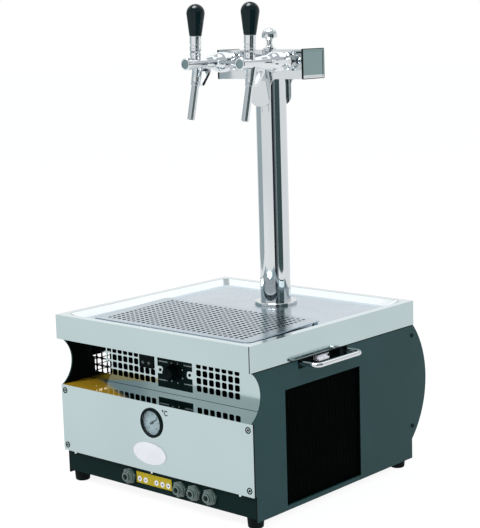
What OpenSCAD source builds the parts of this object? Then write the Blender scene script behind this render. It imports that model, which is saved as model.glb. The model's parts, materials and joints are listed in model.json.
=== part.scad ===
// Over-counter wet beer cooler with a drip tray and a two-tap column.
// Front is -Y, up is +Z, the origin is on the standing surface under the middle of the whole object.

/* [Tray] */
// Width of the drip tray
tray_w = 440; // [400:5:480]
// Depth of the drip tray
tray_d = 435; // [415:5:455]
// Height of the tray's folded skirt
tray_skirt = 42; // [36:1:50]
// Width of the flat rim round the tray
rim_w = 13; // [10:1:18]
// Width of the slope from the rim down to the floor
tray_slope = 14; // [10:1:18]
// Depth of the tray floor below the rim
floor_drop = 9.5; // [7:0.5:12]
// Thickness of the stainless sheet
sheet = 1.5; // [1:0.1:2]
// Width of the lift-out drip grille
drip_w = 356; // [320:4:372]
// Depth of the lift-out drip grille
drip_d = 186; // [170:2:196]
// Distance from the tray's front edge to the drip grille
drip_setback = 47; // [42:1:52]
// Rise of the drip grille towards the rear
drip_rise = 4.5; // [3:0.5:6]
// Depth of the well under the drip grille
well_depth = 15; // [12:1:18]
// Diameter of the holes in the drip grille
drip_hole = 7; // [5:0.5:8]
// Step of the holes across the drip grille
drip_step = 11.6; // [11:0.1:13]
// Step of the rows of holes towards the rear
drip_row = 10.2; // [9.6:0.1:11]

/* [Cabinet] */
// Height of the rubber feet
foot_h = 18.5; // [10:0.5:25]
// Diameter of the rubber feet
foot_d = 28; // [24:1:34]
// Height of the cabinet below the tray
cabinet_h = 235.5; // [225:0.5:260]
// Thickness of the painted side panels
panel_t = 2.5; // [2:0.1:3]
// Distance of the side panels inside the tray's edge
panel_inset = 3; // [2.5:0.5:5]
// Reach of the side panels below the base
panel_lap = 5; // [1:0.5:7]
// Distance of the front panel behind the tray's front edge
front_setback = 5; // [4.6:0.2:8]
// Height of the dark strip under the front panel
strip_h = 37.5; // [36:0.5:44]
// Distance of the strip behind the front panel
strip_inset = 8; // [6:0.5:14]
// Height of the stainless front panel
front_h = 117; // [108:1:122]
// Depth of the control recess above the front panel
recess_d = 62; // [56:1:66]
// Depth of the round notch in the side panels
notch_depth = 23; // [18:1:28]
// Distance of the rear edge inside the tray's rear edge
rear_setback = 3.7; // [3:0.1:6]
// Height of the plain edge below the rear bulge
rear_wall_h = 29.5; // [27:0.5:38]
// Reach of the rear bulge behind the rear edge
bulge_reach = 43; // [36:1:50]

/* [Recess grille] */
// Size of a square hole
cell = 10.6; // [8:0.2:11.2]
// Step of the square holes left of the window
left_pitch = 13.2; // [12.6:0.2:15]
// Step of the square holes right of the window
cell_pitch = 14; // [13:0.25:16]
// Step of the square holes upwards
cell_rise = 13; // [12.5:0.25:16]
// Width of the control window
window_w = 80; // [70:1:84]
// Middle of the control window
window_x = -4; // [-8:1:0]
// Columns of holes right of the window
right_cells = 7; // [4:1:9]

/* [Side openings and handles] */
// Width of the vent opening
vent_w = 194; // [170:2:200]
// Height of the vent opening
vent_h = 189; // [170:1:192]
// Height of the vent above the panel's lower edge
vent_low = 2.5; // [2:0.5:8]
// Middle of the vent and handles behind the tray's middle
vent_off = -34; // [-40:1:-26]
// Diameter of the handle rod
rod_d = 8; // [6:0.5:9]
// Distance between the handle's legs
handle_w = 116; // [104:1:120]
// Reach of the pulled-out handle outside the panel
handle_reach = 39; // [36:1:46]
// Distance of the handle rod below the tray's skirt
handle_drop = 8; // [7:0.5:10]

/* [Thermometer and badge] */
// Diameter of the thermometer's bezel
gauge_d = 50; // [44:1:54]
// Height of the thermometer in the front panel
gauge_rise = 84; // [78:1:86]
// Length of the badge plate
badge_w = 75; // [60:1:80]
// Height of the badge plate
badge_h = 37; // [28:1:40]
// Diameter of the thermostat knob
knob_d = 25; // [20:1:28]
// Length of the thermostat knob
knob_l = 21; // [16:1:26]

/* [Ports] */
// Outer diameter of the tube that fits a port
tube_d = 9.5; // [8:0.1:10]
// Width of a port nut over its corners
port_nut = 29; // [26:0.5:30]
// Height of the ports in the strip
port_rise = 18; // [17:0.5:20]

/* [Column] */
// Distance of the column behind the tray's middle
column_off = 108; // [100:1:112]
// Diameter of the column
column_d = 54; // [48:1:56]
// Height of the column from the tray floor to the header
column_h = 396; // [340:2:440]
// Diameter of the column's flange
flange_d = 76; // [70:1:84]
// Length of the header without its caps
header_w = 187; // [175:1:200]
// Height of the header
header_h = 50; // [46:1:56]
// Length of the tongues under the header
tongue_l = 47; // [40:1:54]
// Width of the tongues under the header
tongue_w = 46; // [40:1:50]

/* [Taps] */
// Distance between the taps
tap_pitch = 122; // [112:1:130]
// Height of the taps above the header's middle
tap_rise = 5; // [3:0.5:7]
// Length of a tap in front of the header
tap_l = 120; // [116:1:130]
// Diameter of a tap's barrel
barrel_d = 20.8; // [19.8:0.2:21.6]
// Diameter of the flow control behind the barrel
flow_d = 35; // [32:0.5:37]
// Distance of a lever in front of the header
lever_off = 94; // [90:1:96]
// Backward lean of the levers when shut
lever_lean = 3; // [0:0.5:5]
// Diameter of a spout
spout_d = 13; // [11:0.5:14]
// Length of a spout below its collar
spout_l = 64; // [50:1:80]
// Forward slant of the spouts
spout_slant = 13.5; // [8:0.5:16]
// Length of a grip
grip_l = 54; // [46:1:64]
// Greatest diameter of a grip
grip_d = 31.5; // [28:0.5:36]

/* [Clearances] */
// Radial clearance of a turning or sliding fit
run_gap = 0.05; // [0.02:0.01:0.09]
// Clearance of a piece set in its seat
seat_gap = 0.1; // [0.05:0.05:0.2]
// Clearance between pieces that pass each other
free_gap = 0.3; // [0.25:0.05:0.5]

/* [Hidden] */
$fn = 48;
eps = 0.01;

// Main levels and faces
tray_y = (rear_setback - bulge_reach) / 2;
panel_z = foot_h;
skirt_z = panel_z + cabinet_h;
rim_z = skirt_z + tray_skirt;
floor_z = rim_z - floor_drop;
tray_front = tray_y - tray_d / 2;
tray_back = tray_y + tray_d / 2;
front_y = tray_front + front_setback;
strip_y = front_y + strip_inset;
wall_y = front_y + recess_d;
rear_y = tray_back - rear_setback;
panel_x = tray_w / 2 - panel_inset;
inner_x = panel_x - panel_t;
front_z = panel_z + strip_h;
ledge_z = front_z + front_h;

// Drip grille and its well
drip_y = tray_front + drip_setback + drip_d / 2;
drip_corner = 12;
drip_tilt = asin(drip_rise / drip_d);
drip_columns = floor((drip_w - 50) / drip_step);
drip_rows = floor((drip_d - 30) / drip_row);
drip_pad_r = 5;
well_lap = 12;
well_w = drip_w - 2 * well_lap;
well_d = drip_d - 2 * well_lap;
well_z = floor_z - well_depth;
grille_top_z = well_z - sheet;
drain_r = 6;
drain_x = -drip_w / 2 + 40;
drain_l = 10;

// Notch and bulge arcs from their chord and depth
notch_half = (skirt_z - ledge_z) / 2;
notch_r = (notch_half * notch_half + notch_depth * notch_depth) / (2 * notch_depth);
panel_front = front_y + sheet;
bulge_over = 4;
bulge_low = panel_z + rear_wall_h;
bulge_half = (skirt_z + bulge_over - bulge_low) / 2;
bulge_r = (bulge_half * bulge_half + bulge_reach * bulge_reach) / (2 * bulge_reach);
bulge_y = rear_y + bulge_reach - bulge_r;
bulge_z = bulge_low + bulge_half;
cover_r = bulge_r - sheet;
cover_flange = 26;
cover_lap = 8;
side_screw_r = bulge_r - 15;
side_screw_angle = 37;

// Fasteners
screw_r = 2;
screw_head_r = 3.6;
screw_head_h = 2;
screw_x = inner_x - 5.2;
screw_rise = 10;
flange_w = 14;
rivet_r = 2.4;
rivet_drop = 4.5;

// Recess grille
cell_cut = 1.8;
cell_low = ledge_z + 13.2;
cell_rows = floor((grille_top_z - cell_low - 8) / cell_rise);
window_margin = 9;
window_low = ledge_z + 9;
window_h = cell_rows * cell_rise - 1;
ledge_gap = 1.2;
left_margin = 6;
left_edge = window_x - window_w / 2 - left_margin;
left_cells = floor((left_edge + inner_x - 3) / left_pitch);
covered_columns = 3;
covered_row = 2;
right_edge = window_x + window_w / 2 + window_margin;

// Vents and handles
side_y = tray_y + vent_off;
left_vent_y = side_y - 12;
rod_r = rod_d / 2;
handle_z = skirt_z - handle_drop;
handle_bend = 12;
bar_x = panel_x + handle_reach - rod_r;
slot_w = handle_w + rod_d + 3;
slot_low = handle_z - 9;
guide_d = 18;
guide_w = handle_w + 24;
guide_low = slot_low - 3;
guide_h = skirt_z + 4 - guide_low;
pocket_w = handle_w - 20;
collar_r = rod_r + 2;
collar_l = 4;
stop_w = 28;
stop_off = 10;
stop_h = 10;
stop_d = 12;

// Thermostat and terminal cover
knob_x = window_x;
knob_z = window_low + 30;
spindle_r = 3;
spindle_l = 14;
thermostat_lap = 5;
lug = 12.5;
lug_z = knob_z - 1;
lug_stud_r = 2.4;
slot_mid = knob_z - 2.6;
slot_rise = 15.7;
switch_w = 64;
switch_h = 44;
switch_d = 30;
terminal_w = 33;
terminal_h = 30;
terminal_d = 2;
terminal_x = window_x - window_w / 2 - 8.5 - terminal_w / 2;
terminal_z = cell_low + covered_row * cell_rise + terminal_h / 2 - 2;

// Thermometer, badge and label
gauge_z = front_z + gauge_rise;
gauge_proud = 2.5;
gauge_wall = 1.5;
gauge_cup = gauge_d / 2 - 2.5;
gauge_in = gauge_cup - gauge_wall;
gauge_depth = 24;
dial_depth = 3.5;
lens_t = 1.5;
lens_lip = 0.7;
pin_r = 0.8;
badge_x = -7;
badge_z = front_z + 31;
badge_t = 1.2;
label_x = -7.5;
label_w = 81;
label_h = 19;
label_rise = 1.5;
label_t = 0.8;
label_disc_r = 4.6;
label_discs = [-33, -19, 6, 20, 33];

// Ports
port_x = [-64, 53, 84.5, 119];
port_z = panel_z + port_rise;
port_nut_h = 5;
port_barrel = 8;
port_ring = 11.3;
port_ring_h = 2.5;
port_nose_r = 9.2;
port_nose = port_nut_h + port_ring_h + 2.5;
port_tail = 26;
port_inner_flange = 12.5;
tube_r = tube_d / 2 + run_gap;
tube_stop = 10;
collet_r = tube_r + 1.7;
collet_lip = 1.2;
collet_travel = 1.2;
collet_depth = 7;
gland_x = -150;
gland_r = 10;
gland_z = panel_z + sheet + gland_r + 1.5;
gland_bore = 4;
gland_tail = 4.5;

// Column and header
column_y = tray_y + column_off;
column_r = column_d / 2;
column_wall = 1.5;
column_tail = 16;
flange_h = 5;
ring_nut_h = 7;
header_z = floor_z + column_h;
header_mid = header_z + header_h / 2;
header_d = column_d + 2 * seat_gap + 2 * sheet;
header_y = column_y - header_d / 2;
column_top = header_z + 14;
tongue_round = 17;
tongue_fillet = 14;
cap_t = 3;
cap_plug = 8;
finial_r = 13.8;
finial_h = 37;

// Taps
tap_x = tap_pitch / 2;
tap_z = header_mid + tap_rise;
barrel_r = barrel_d / 2;
flow_r = flow_d / 2;
lever_y = header_y - lever_off;
pivot_rise = 16;
pivot_z = tap_z + pivot_rise;
shank_r = 9;
shank_in = 25;
shank_out = 12;
shank_bore = 4;
shank_nut_r = 13;
ball_r = 9.6;
seat_r = ball_r + free_gap;
bonnet_r = 9;
ferrule_r = 10;
collar_low = 5;
collar_top = 14;
ferrule_top = 30;
stud_r = 4;
stud_l = 15;
stem_r = 2;
hub_r = 3.5;
slot_half = 3.4;
tip_r = 3;
plunger_r = 5;
plunger_gap = 1.4;
plunger_back = 22;
plunger_front = 16;
neck_off = 6;
neck_r = 8.2;
neck_l = 32;
spout_r = spout_d / 2;
spout_bore = spout_r - 1.4;
spout_in = 8;
flow_pivot = 17.5;
flow_pin_r = 2.5;
flow_arm = 40;
flow_arm_t = 4;
flow_x = flow_r + 1;

// Cooling system inside the cabinet
condenser_gap = 3;
condenser_lap = 6;
condenser_w = vent_w + 2 * condenser_lap;
condenser_t = 36;
condenser_x = inner_x - condenser_gap - condenser_t;
fin_t = 0.6;
fin_count = 53;
fin_pitch = (condenser_w - fin_t) / (fin_count - 1);
condenser_tube_r = 3;
condenser_rows = 12;
condenser_rise = vent_h / condenser_rows;
shroud_x = condenser_x - 8;
fan_z = panel_z + sheet + 98;
fan_opening = 84;
fan_r = 78;
fan_hub = 18;
fan_depth = 14;
fan_shaft = 3;
motor_r = 32;
motor_l = 45;
spoke_w = 10;
compressor_y = tray_y - 40;
compressor_r = 66;
compressor_h = 140;
compressor_foot = 62;
guide_x = inner_x - 51;
compressor_x = -guide_x + compressor_foot + 16;
terminal_box = 42;
grommet_h = 12;
grommet_r = 11;

// Water bath at the rear
bath_front = side_y + condenser_w / 2 + condenser_rise / 2 + condenser_tube_r + 4;
bath_back = rear_y - sheet - gland_tail - 0.5;
bath_x = inner_x - 9;
bath_y = (bath_front + bath_back) / 2;
bath_low = panel_z + sheet;
bath_h = cabinet_h - 22;
foam_t = 20;
tank_t = 1;
tank_low = bath_low + foam_t;
tank_top = bath_low + bath_h;
bath_half_x = bath_x - foam_t - tank_t;
bath_half_y = (bath_back - bath_front) / 2 - foam_t - tank_t;
coil_tube = 4;
evap_turns = 6;
evap_rings = 24;
evap_half_x = bath_half_x - coil_tube - free_gap;
evap_half_y = bath_half_y - coil_tube - free_gap;
evap_pitch = 24;
evap_square = 0.4;
beer_turns = 8;
beer_rings = 16;
beer_r = 25;
beer_pitch = 18;
beer_x = 100;
coil_low = tank_low + tank_t + coil_tube + free_gap;
riser_x = 12;
agitator_r = 20;
agitator_h = 22;
agitator_shaft = 3;
agitator_low = tank_low + 40;
bridge_t = 3;

// Colours
stainless = [0.80, 0.83, 0.84];
polished = [0.86, 0.88, 0.89];
slate = [0.20, 0.28, 0.29];
black = [0.05, 0.07, 0.07];
port_grey = [0.40, 0.46, 0.45];
white = [0.93, 0.94, 0.94];
label_yellow = [0.72, 0.62, 0.12];
copper = [0.72, 0.43, 0.28];
foam = [0.10, 0.11, 0.11];

// Shared shapes

// A sketch drawn on X and Z, built up towards the front
module to_front(y) {
  translate([0, y, 0])
    rotate([90, 0, 0])
      children();
}

// A sketch drawn on Y and Z, built up towards +X
module to_right(x) {
  translate([x, 0, 0])
    rotate([90, 0, 90])
      children();
}

module rounded(w, d, r) {
  square([w - 2 * r, d], center = true);
  square([w, d - 2 * r], center = true);
  for (sx = [-1, 1], sy = [-1, 1])
    translate([sx * (w / 2 - r), sy * (d / 2 - r)])
      circle(r = r);
}

module ring(outer, inner, h) {
  difference() {
    cylinder(r = outer, h = h);
    translate([0, 0, -eps])
      cylinder(r = inner, h = h + 2 * eps);
  }
}

// A tube of few sides swept along a list of points, closed at both ends
module swept_tube(points, r, sides) {
  n = len(points);
  function heading(i) = points[min(i + 1, n - 1)] - points[max(i - 1, 0)];
  function unit(v) = v / norm(v);
  function across(d) = unit(cross(d, abs(d.z) > 0.9 * norm(d) ? [0, 1, 0] : [0, 0, 1]));
  rings = [
    for (i = [0:n - 1])
      let (d = unit(heading(i)), a = across(d), b = cross(d, a))
        for (k = [0:sides - 1])
          points[i] + r * (cos(360 * k / sides) * a + sin(360 * k / sides) * b)
  ];
  walls = [
    for (i = [0:n - 2], k = [0:sides - 1])
      let (a = i * sides + k, b = i * sides + (k + 1) % sides)
        each [[a, b, b + sides], [a, b + sides, a + sides]]
  ];
  ends = [
    for (k = [1:sides - 2])
      each [[0, k + 1, k], [(n - 1) * sides, (n - 1) * sides + k, (n - 1) * sides + k + 1]]
  ];
  polyhedron(points = rings, faces = [for (f = concat(walls, ends)) [f[2], f[1], f[0]]]);
}

// Cabinet

module base_pan() {
  color(black)
    difference() {
      union() {
        translate([-inner_x, strip_y, panel_z])
          cube([2 * inner_x, rear_y - strip_y, sheet]);
        translate([-inner_x, strip_y, panel_z])
          cube([2 * inner_x, sheet, strip_h]);
        translate([-inner_x, rear_y - sheet, panel_z])
          cube([2 * inner_x, sheet, rear_wall_h]);
        // air guide between the left vent and the compressor
        translate([-guide_x - sheet, wall_y + 3 * sheet, panel_z])
          cube([sheet, bath_front - wall_y - 6 * sheet, grille_top_z - 4 - panel_z]);
      }
      for (x = port_x)
        to_front(strip_y + 2 * sheet)
          translate([x, port_z])
            cylinder(r = port_barrel + seat_gap, h = 4 * sheet);
      to_front(rear_y + sheet)
        translate([gland_x, gland_z])
          cylinder(r = gland_r - 2 + seat_gap, h = 4 * sheet);
    }
}

module feet() {
  foot_r = foot_d / 2;
  color(black)
    for (x = [-1, 1], y = [strip_y + foot_r + 1, rear_y - foot_r - 8])
      translate([x * (inner_x - foot_r - 0.5), y, 0])
        rotate_extrude()
          polygon([[0, 0], [foot_r - 3, 0], [foot_r - 1.5, 1.5], [foot_r, foot_h], [0, foot_h]]);
}

// Outline of a side panel on Y and Z
module panel_outline(vent_y) {
  difference() {
    union() {
      translate([strip_y, panel_z - panel_lap])
        square([rear_y - strip_y, rim_z - sheet - panel_z + panel_lap]);
      translate([panel_front, front_z])
        square([strip_y - panel_front + 1, rim_z - sheet - front_z]);
      intersection() {
        translate([bulge_y, bulge_z])
          circle(r = bulge_r, $fn = 96);
        translate([bulge_y, bulge_low])
          square([bulge_r + 1, skirt_z - bulge_low]);
      }
    }
    translate([panel_front + notch_depth - notch_r, ledge_z + notch_half])
      circle(r = notch_r);
    translate([vent_y - vent_w / 2, panel_z + vent_low])
      square([vent_w, vent_h]);
    translate([side_y - slot_w / 2, slot_low])
      square([slot_w, skirt_z - slot_low]);
  }
}

module right_panel_shape(vent_y) {
  difference() {
    union() {
      to_right(inner_x)
        linear_extrude(panel_t)
          panel_outline(vent_y);
      // inward flange that the front panel is screwed to
      translate([inner_x - flange_w, panel_front, front_z + 3])
        cube([flange_w + eps, sheet, front_h - 8]);
    }
    for (z = [front_z + screw_rise, ledge_z - screw_rise])
      to_front(panel_front + 2 * sheet)
        translate([screw_x, z])
          cylinder(r = screw_r + seat_gap, h = 4 * sheet);
    for (a = [-1, 1])
      side_screw_at(a)
        translate([0, 0, -panel_t - 1])
          cylinder(r = screw_r + seat_gap, h = panel_t + 2);
  }
}

// Places a child at a rear screw on the outer face of the right panel
module side_screw_at(a) {
  translate([
    panel_x,
    bulge_y + side_screw_r * cos(side_screw_angle),
    bulge_z + a * side_screw_r * sin(side_screw_angle)
  ])
    rotate([0, 90, 0])
      children();
}

module right_side_panel() {
  color(slate)
    right_panel_shape(side_y);
}

module left_side_panel() {
  color(slate)
    mirror([1, 0, 0])
      right_panel_shape(left_vent_y);
}

// Band of the rear cover on Y and Z, from its outer face inwards
module cover_band(depth) {
  intersection() {
    difference() {
      translate([bulge_y, bulge_z])
        circle(r = cover_r, $fn = 96);
      translate([bulge_y, bulge_z])
        circle(r = cover_r - depth, $fn = 96);
    }
    translate([bulge_y, bulge_low])
      square([bulge_r, skirt_z - bulge_low]);
  }
}

module rear_cover() {
  slot_l = 110;
  slot_h = 5;
  lip_y = bulge_y + sqrt(pow(cover_r, 2) - pow(bulge_z - bulge_low, 2));
  color(slate)
    difference() {
      union() {
        to_right(-inner_x)
          linear_extrude(2 * inner_x)
            cover_band(sheet);
        for (x = [-inner_x, inner_x - sheet])
          to_right(x)
            linear_extrude(sheet)
              cover_band(cover_flange);
        translate([-inner_x, lip_y - sheet, bulge_low - cover_lap])
          cube([2 * inner_x, sheet, cover_lap + 1]);
      }
      for (x = [-1, 1], i = [0:7])
        translate([x * 75 - slot_l / 2, bulge_y, bulge_z - 60 + 17 * i])
          cube([slot_l, bulge_r, slot_h]);
      for (m = [0, 1], a = [-1, 1])
        mirror([m, 0, 0])
          side_screw_at(a)
            translate([0, 0, -panel_t - 2 * sheet])
              cylinder(r = screw_r + seat_gap, h = 4 * sheet);
    }
}

module front_panel() {
  color(stainless)
    difference() {
      union() {
        translate([-panel_x - 1, front_y, front_z])
          cube([2 * panel_x + 2, sheet, front_h]);
        translate([-inner_x, front_y, ledge_z - sheet])
          cube([2 * inner_x, recess_d - ledge_gap, sheet]);
        translate([-inner_x, front_y, front_z])
          cube([2 * inner_x, strip_inset + sheet, sheet]);
      }
      to_front(front_y + 2 * sheet)
        translate([0, gauge_z])
          cylinder(r = gauge_cup + seat_gap, h = 4 * sheet);
      for (x = [-1, 1], z = [front_z + screw_rise, ledge_z - screw_rise])
        to_front(front_y + 2 * sheet)
          translate([x * screw_x, z])
            cylinder(r = screw_r + seat_gap, h = 4 * sheet);
    }
}

module cell_shape() {
  half = cell / 2;
  in = half - cell_cut;
  polygon([
    [-in, -half], [in, -half], [half, -in], [half, in],
    [in, half], [-in, half], [-half, in], [-half, -in]
  ]);
}

module grille_panel() {
  color(stainless)
    to_front(wall_y + sheet)
      linear_extrude(sheet)
        difference() {
          translate([-inner_x, ledge_z - sheet])
            square([2 * inner_x, grille_top_z - ledge_z + sheet]);
          for (i = [0:left_cells - 1], j = [0:cell_rows - 1])
            if (i >= covered_columns || j < covered_row)
              translate([left_edge - left_pitch * i - cell / 2, cell_low + cell / 2 + cell_rise * j])
                cell_shape();
          for (i = [0:right_cells - 1], j = [0:cell_rows - 1])
            translate([right_edge + cell_pitch * i + cell / 2, cell_low + cell / 2 + cell_rise * j])
              cell_shape();
          difference() {
            translate([window_x - window_w / 2, window_low])
              square([window_w, window_h]);
            // lugs that the thermostat is fixed to
            for (s = [-1, 1])
              translate([window_x + s * window_w / 2, lug_z])
                rounded(2 * lug, lug, lug / 3);
          }
          for (s = [-1, 1])
            translate([window_x + s * (window_w / 2 - lug / 2), lug_z])
              circle(r = lug_stud_r + free_gap);
        }
}

module pan_screw(l) {
  rotate_extrude()
    polygon([
      [0, -l], [screw_r, -l], [screw_r, 0], [screw_head_r, 0],
      [screw_head_r, screw_head_h * 0.5], [screw_head_r - 0.9, screw_head_h], [0, screw_head_h]
    ]);
}

module front_screws() {
  color(polished) {
    for (x = [-1, 1], z = [front_z + screw_rise, ledge_z - screw_rise])
      to_front(front_y)
        translate([x * screw_x, z])
          pan_screw(8);
    for (x = [-inner_x + 16, -12, inner_x - 32])
      to_front(strip_y)
        translate([x, front_z - rivet_drop])
          rotate_extrude()
            polygon([[0, 0], [rivet_r, 0], [rivet_r * 0.8, 1], [0, 1.4]]);
  }
}

module side_screws() {
  color(black)
    for (m = [0, 1], a = [-1, 1])
      mirror([m, 0, 0])
        side_screw_at(a)
          pan_screw(8);
}

// Handles

// Half of the pulled-out handle: a leg, a bend and half of the bar
module handle_half() {
  leg_in = inner_x - guide_d - free_gap - collar_l;
  leg_end = bar_x - handle_bend;
  translate([leg_in, handle_w / 2, 0])
    rotate([0, 90, 0])
      cylinder(r = rod_r, h = leg_end - leg_in);
  translate([leg_in, handle_w / 2, 0])
    rotate([0, 90, 0])
      cylinder(r = collar_r, h = collar_l);
  translate([leg_end, handle_w / 2 - handle_bend, 0])
    rotate_extrude(angle = 90)
      translate([handle_bend, 0])
        circle(r = rod_r);
  translate([bar_x, 0, 0])
    rotate([-90, 0, 0])
      cylinder(r = rod_r, h = handle_w / 2 - handle_bend);
}

module handle_shape() {
  color(polished)
    translate([0, side_y, handle_z])
      union() {
        handle_half();
        mirror([0, 1, 0])
          handle_half();
      }
}

module right_handle() {
  handle_shape();
}

module left_handle() {
  mirror([1, 0, 0])
    handle_shape();
}

module handle_guides() {
  color(black)
    for (m = [0, 1])
      mirror([m, 0, 0])
        difference() {
          translate([inner_x - guide_d, side_y - guide_w / 2, guide_low])
            cube([guide_d, guide_w, guide_h]);
          translate([inner_x - guide_d + 3, side_y - pocket_w / 2, slot_low])
            cube([guide_d, pocket_w, skirt_z - slot_low]);
          for (s = [-1, 1])
            translate([inner_x - guide_d - 1, side_y + s * handle_w / 2, handle_z])
              rotate([0, 90, 0])
                cylinder(r = rod_r + run_gap, h = guide_d + 2);
        }
}

module handle_stops() {
  color(white)
    for (m = [0, 1])
      mirror([m, 0, 0])
        translate([inner_x - guide_d + 3, side_y + stop_off - stop_w / 2, slot_low])
          difference() {
            cube([stop_d, stop_w, stop_h]);
            translate([stop_d - 2, -1, stop_h - 2])
              rotate([0, 45, 0])
                translate([0, 0, -4])
                  cube([4, stop_w + 2, 12]);
          }
}

// Controls in the recess

module thermostat() {
  plate_y = wall_y + sheet;
  color(black)
    difference() {
      union() {
        to_front(plate_y + sheet)
          translate([window_x - window_w / 2 - thermostat_lap, window_low - thermostat_lap])
            cube([window_w + 2 * thermostat_lap, window_h + 2 * thermostat_lap, sheet]);
        translate([knob_x - switch_w / 2, plate_y + sheet - eps, knob_z - switch_h / 2])
          cube([switch_w, switch_d, switch_h]);
        to_front(plate_y)
          translate([knob_x, knob_z])
            cylinder(r = spindle_r, h = spindle_l);
        for (s = [-1, 1])
          to_front(plate_y)
            translate([window_x + s * (window_w / 2 - lug / 2), lug_z])
              cylinder(r = lug_stud_r, h = sheet + 1);
      }
      for (sx = [-1, 1], sz = [-1, 1])
        translate([window_x + sx * (window_w / 2 - 11) - 11, plate_y - 1, slot_mid + sz * slot_rise - 1.2])
          cube([22, sheet + 0.5, 2.4]);
    }
}

module thermostat_knob() {
  plate_y = wall_y + sheet;
  r = knob_d / 2;
  color(black)
    to_front(plate_y - free_gap)
      translate([knob_x, knob_z])
        difference() {
          rotate_extrude()
            polygon([
              [0, 0], [r + 2, 0], [r + 2, 3], [r, 4], [r - 1.2, knob_l - 1.5], [r - 2.7, knob_l], [0, knob_l]
            ]);
          translate([0, 0, -1])
            cylinder(r = spindle_r + run_gap, h = spindle_l + 1.5);
          for (i = [0:11])
            rotate(30 * i)
              translate([r + 0.6, 0, 5])
                cylinder(r = 1.3, h = knob_l);
          translate([-0.6, 0, knob_l - 0.8])
            cube([1.2, r, 2]);
        }
}

module terminal_cover() {
  color(black)
    to_front(wall_y)
      translate([terminal_x, terminal_z]) {
        linear_extrude(terminal_d)
          rounded(terminal_w, terminal_h, 2);
        for (s = [-1, 1])
          translate([s * 7, 9 - terminal_h / 2, terminal_d - eps])
            cylinder(r1 = 3, r2 = 2.4, h = 1.2);
      }
}

// Thermometer

module thermometer_case() {
  color(black)
    to_front(front_y)
      translate([0, gauge_z])
        rotate_extrude($fn = 64)
          polygon([
            [0, -gauge_depth], [gauge_cup, -gauge_depth], [gauge_cup, 0], [gauge_d / 2, 0],
            [gauge_d / 2, gauge_proud - 1], [gauge_d / 2 - 1, gauge_proud], [gauge_in - lens_lip, gauge_proud],
            [gauge_in - lens_lip, gauge_proud - 1], [gauge_in, gauge_proud - 1], [gauge_in, -dial_depth],
            [0, -dial_depth]
          ]);
}

module thermometer_dial() {
  color(white)
    to_front(front_y + dial_depth)
      translate([0, gauge_z]) {
        cylinder(r = gauge_in - seat_gap, h = 1);
        cylinder(r = pin_r, h = dial_depth + gauge_proud - 1 - lens_t - seat_gap);
      }
}

module thermometer_needle() {
  reach = gauge_in - 6;
  color(black)
    to_front(front_y + dial_depth - 1 - free_gap)
      translate([0, gauge_z])
        rotate(-55)
          difference() {
            union() {
              cylinder(r = 2.2, h = 1.3);
              linear_extrude(0.8)
                polygon([[-1.1, -6], [1.1, -6], [0.7, 0], [0.3, reach], [-0.3, reach], [-0.7, 0]]);
            }
            translate([0, 0, -1])
              cylinder(r = pin_r + run_gap, h = 4);
          }
}

module thermometer_lens() {
  color([0.9, 0.95, 0.95, 0.3])
    to_front(front_y - gauge_proud + 1 + lens_t)
      translate([0, gauge_z])
        cylinder(r = gauge_in - seat_gap, h = lens_t);
}

module badge_plate() {
  steps = 48;
  color(white)
    to_front(front_y)
      translate([badge_x, badge_z])
        linear_extrude(badge_t)
          polygon([for (i = [0:steps - 1]) [badge_w / 2 * cos(360 * i / steps), badge_h / 2 * sin(360 * i / steps)]]);
}

module port_label() {
  color(label_yellow)
    to_front(strip_y)
      translate([label_x, port_z + label_rise]) {
        translate([-label_w / 2, -label_h / 2])
          cube([label_w, label_h, label_t]);
        for (x = label_discs)
          translate([x, -2.5])
            cylinder(r = label_disc_r, h = label_t + 0.3);
      }
}

// Ports

module bulkhead_bodies() {
  color(port_grey)
    for (x = port_x)
      to_front(strip_y)
        translate([x, port_z])
          difference() {
            union() {
              translate([0, 0, -port_tail])
                cylinder(r = port_barrel, h = port_tail + port_nut_h);
              translate([0, 0, -sheet - 4])
                cylinder(r = port_inner_flange, h = 4);
              translate([0, 0, port_nut_h])
                cylinder(r = port_ring, h = port_ring_h);
              translate([0, 0, port_nut_h])
                cylinder(r = port_nose_r, h = port_nose - port_nut_h);
            }
            translate([0, 0, port_nose - collet_depth - collet_travel])
              cylinder(r = collet_r + run_gap, h = collet_depth + collet_travel + 1);
            translate([0, 0, -tube_stop])
              cylinder(r = tube_r, h = port_nose + tube_stop);
            translate([0, 0, -port_tail - 1])
              cylinder(r = 3, h = port_tail + 2);
          }
}

module bulkhead_nuts() {
  color(port_grey)
    for (x = port_x)
      to_front(strip_y)
        translate([x, port_z])
          difference() {
            rotate(15)
              cylinder(r = port_nut / 2, h = port_nut_h, $fn = 6);
            translate([0, 0, -1])
              cylinder(r = port_barrel + seat_gap, h = port_nut_h + 2);
          }
}

module collet(x) {
  color(port_grey)
    to_front(strip_y)
      translate([x, port_z, port_nose])
        difference() {
          union() {
            translate([0, 0, free_gap - collet_depth])
              cylinder(r = collet_r, h = collet_depth + collet_travel);
            translate([0, 0, collet_travel + free_gap])
              cylinder(r = collet_r + 0.9, h = collet_lip);
          }
          translate([0, 0, -collet_depth])
            cylinder(r = tube_r + run_gap, h = collet_depth + collet_travel + free_gap + collet_lip + 1);
        }
}

module inlet_collet() {
  collet(port_x[0]);
}

module outlet_collet() {
  collet(port_x[1]);
}

module left_beer_collet() {
  collet(port_x[2]);
}

module right_beer_collet() {
  collet(port_x[3]);
}

module cord_gland() {
  color(black)
    translate([gland_x, rear_y, gland_z])
      rotate([-90, 0, 0])
        difference() {
          union() {
            cylinder(r = gland_r, h = 4, $fn = 6);
            translate([0, 0, -sheet - gland_tail])
              cylinder(r = gland_r - 2, h = gland_tail + sheet + eps);
            cylinder(r1 = gland_r - 2, r2 = gland_r - 4, h = 10);
          }
          translate([0, 0, -20])
            cylinder(r = gland_bore, h = 40);
        }
}

// Cooling system

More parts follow.
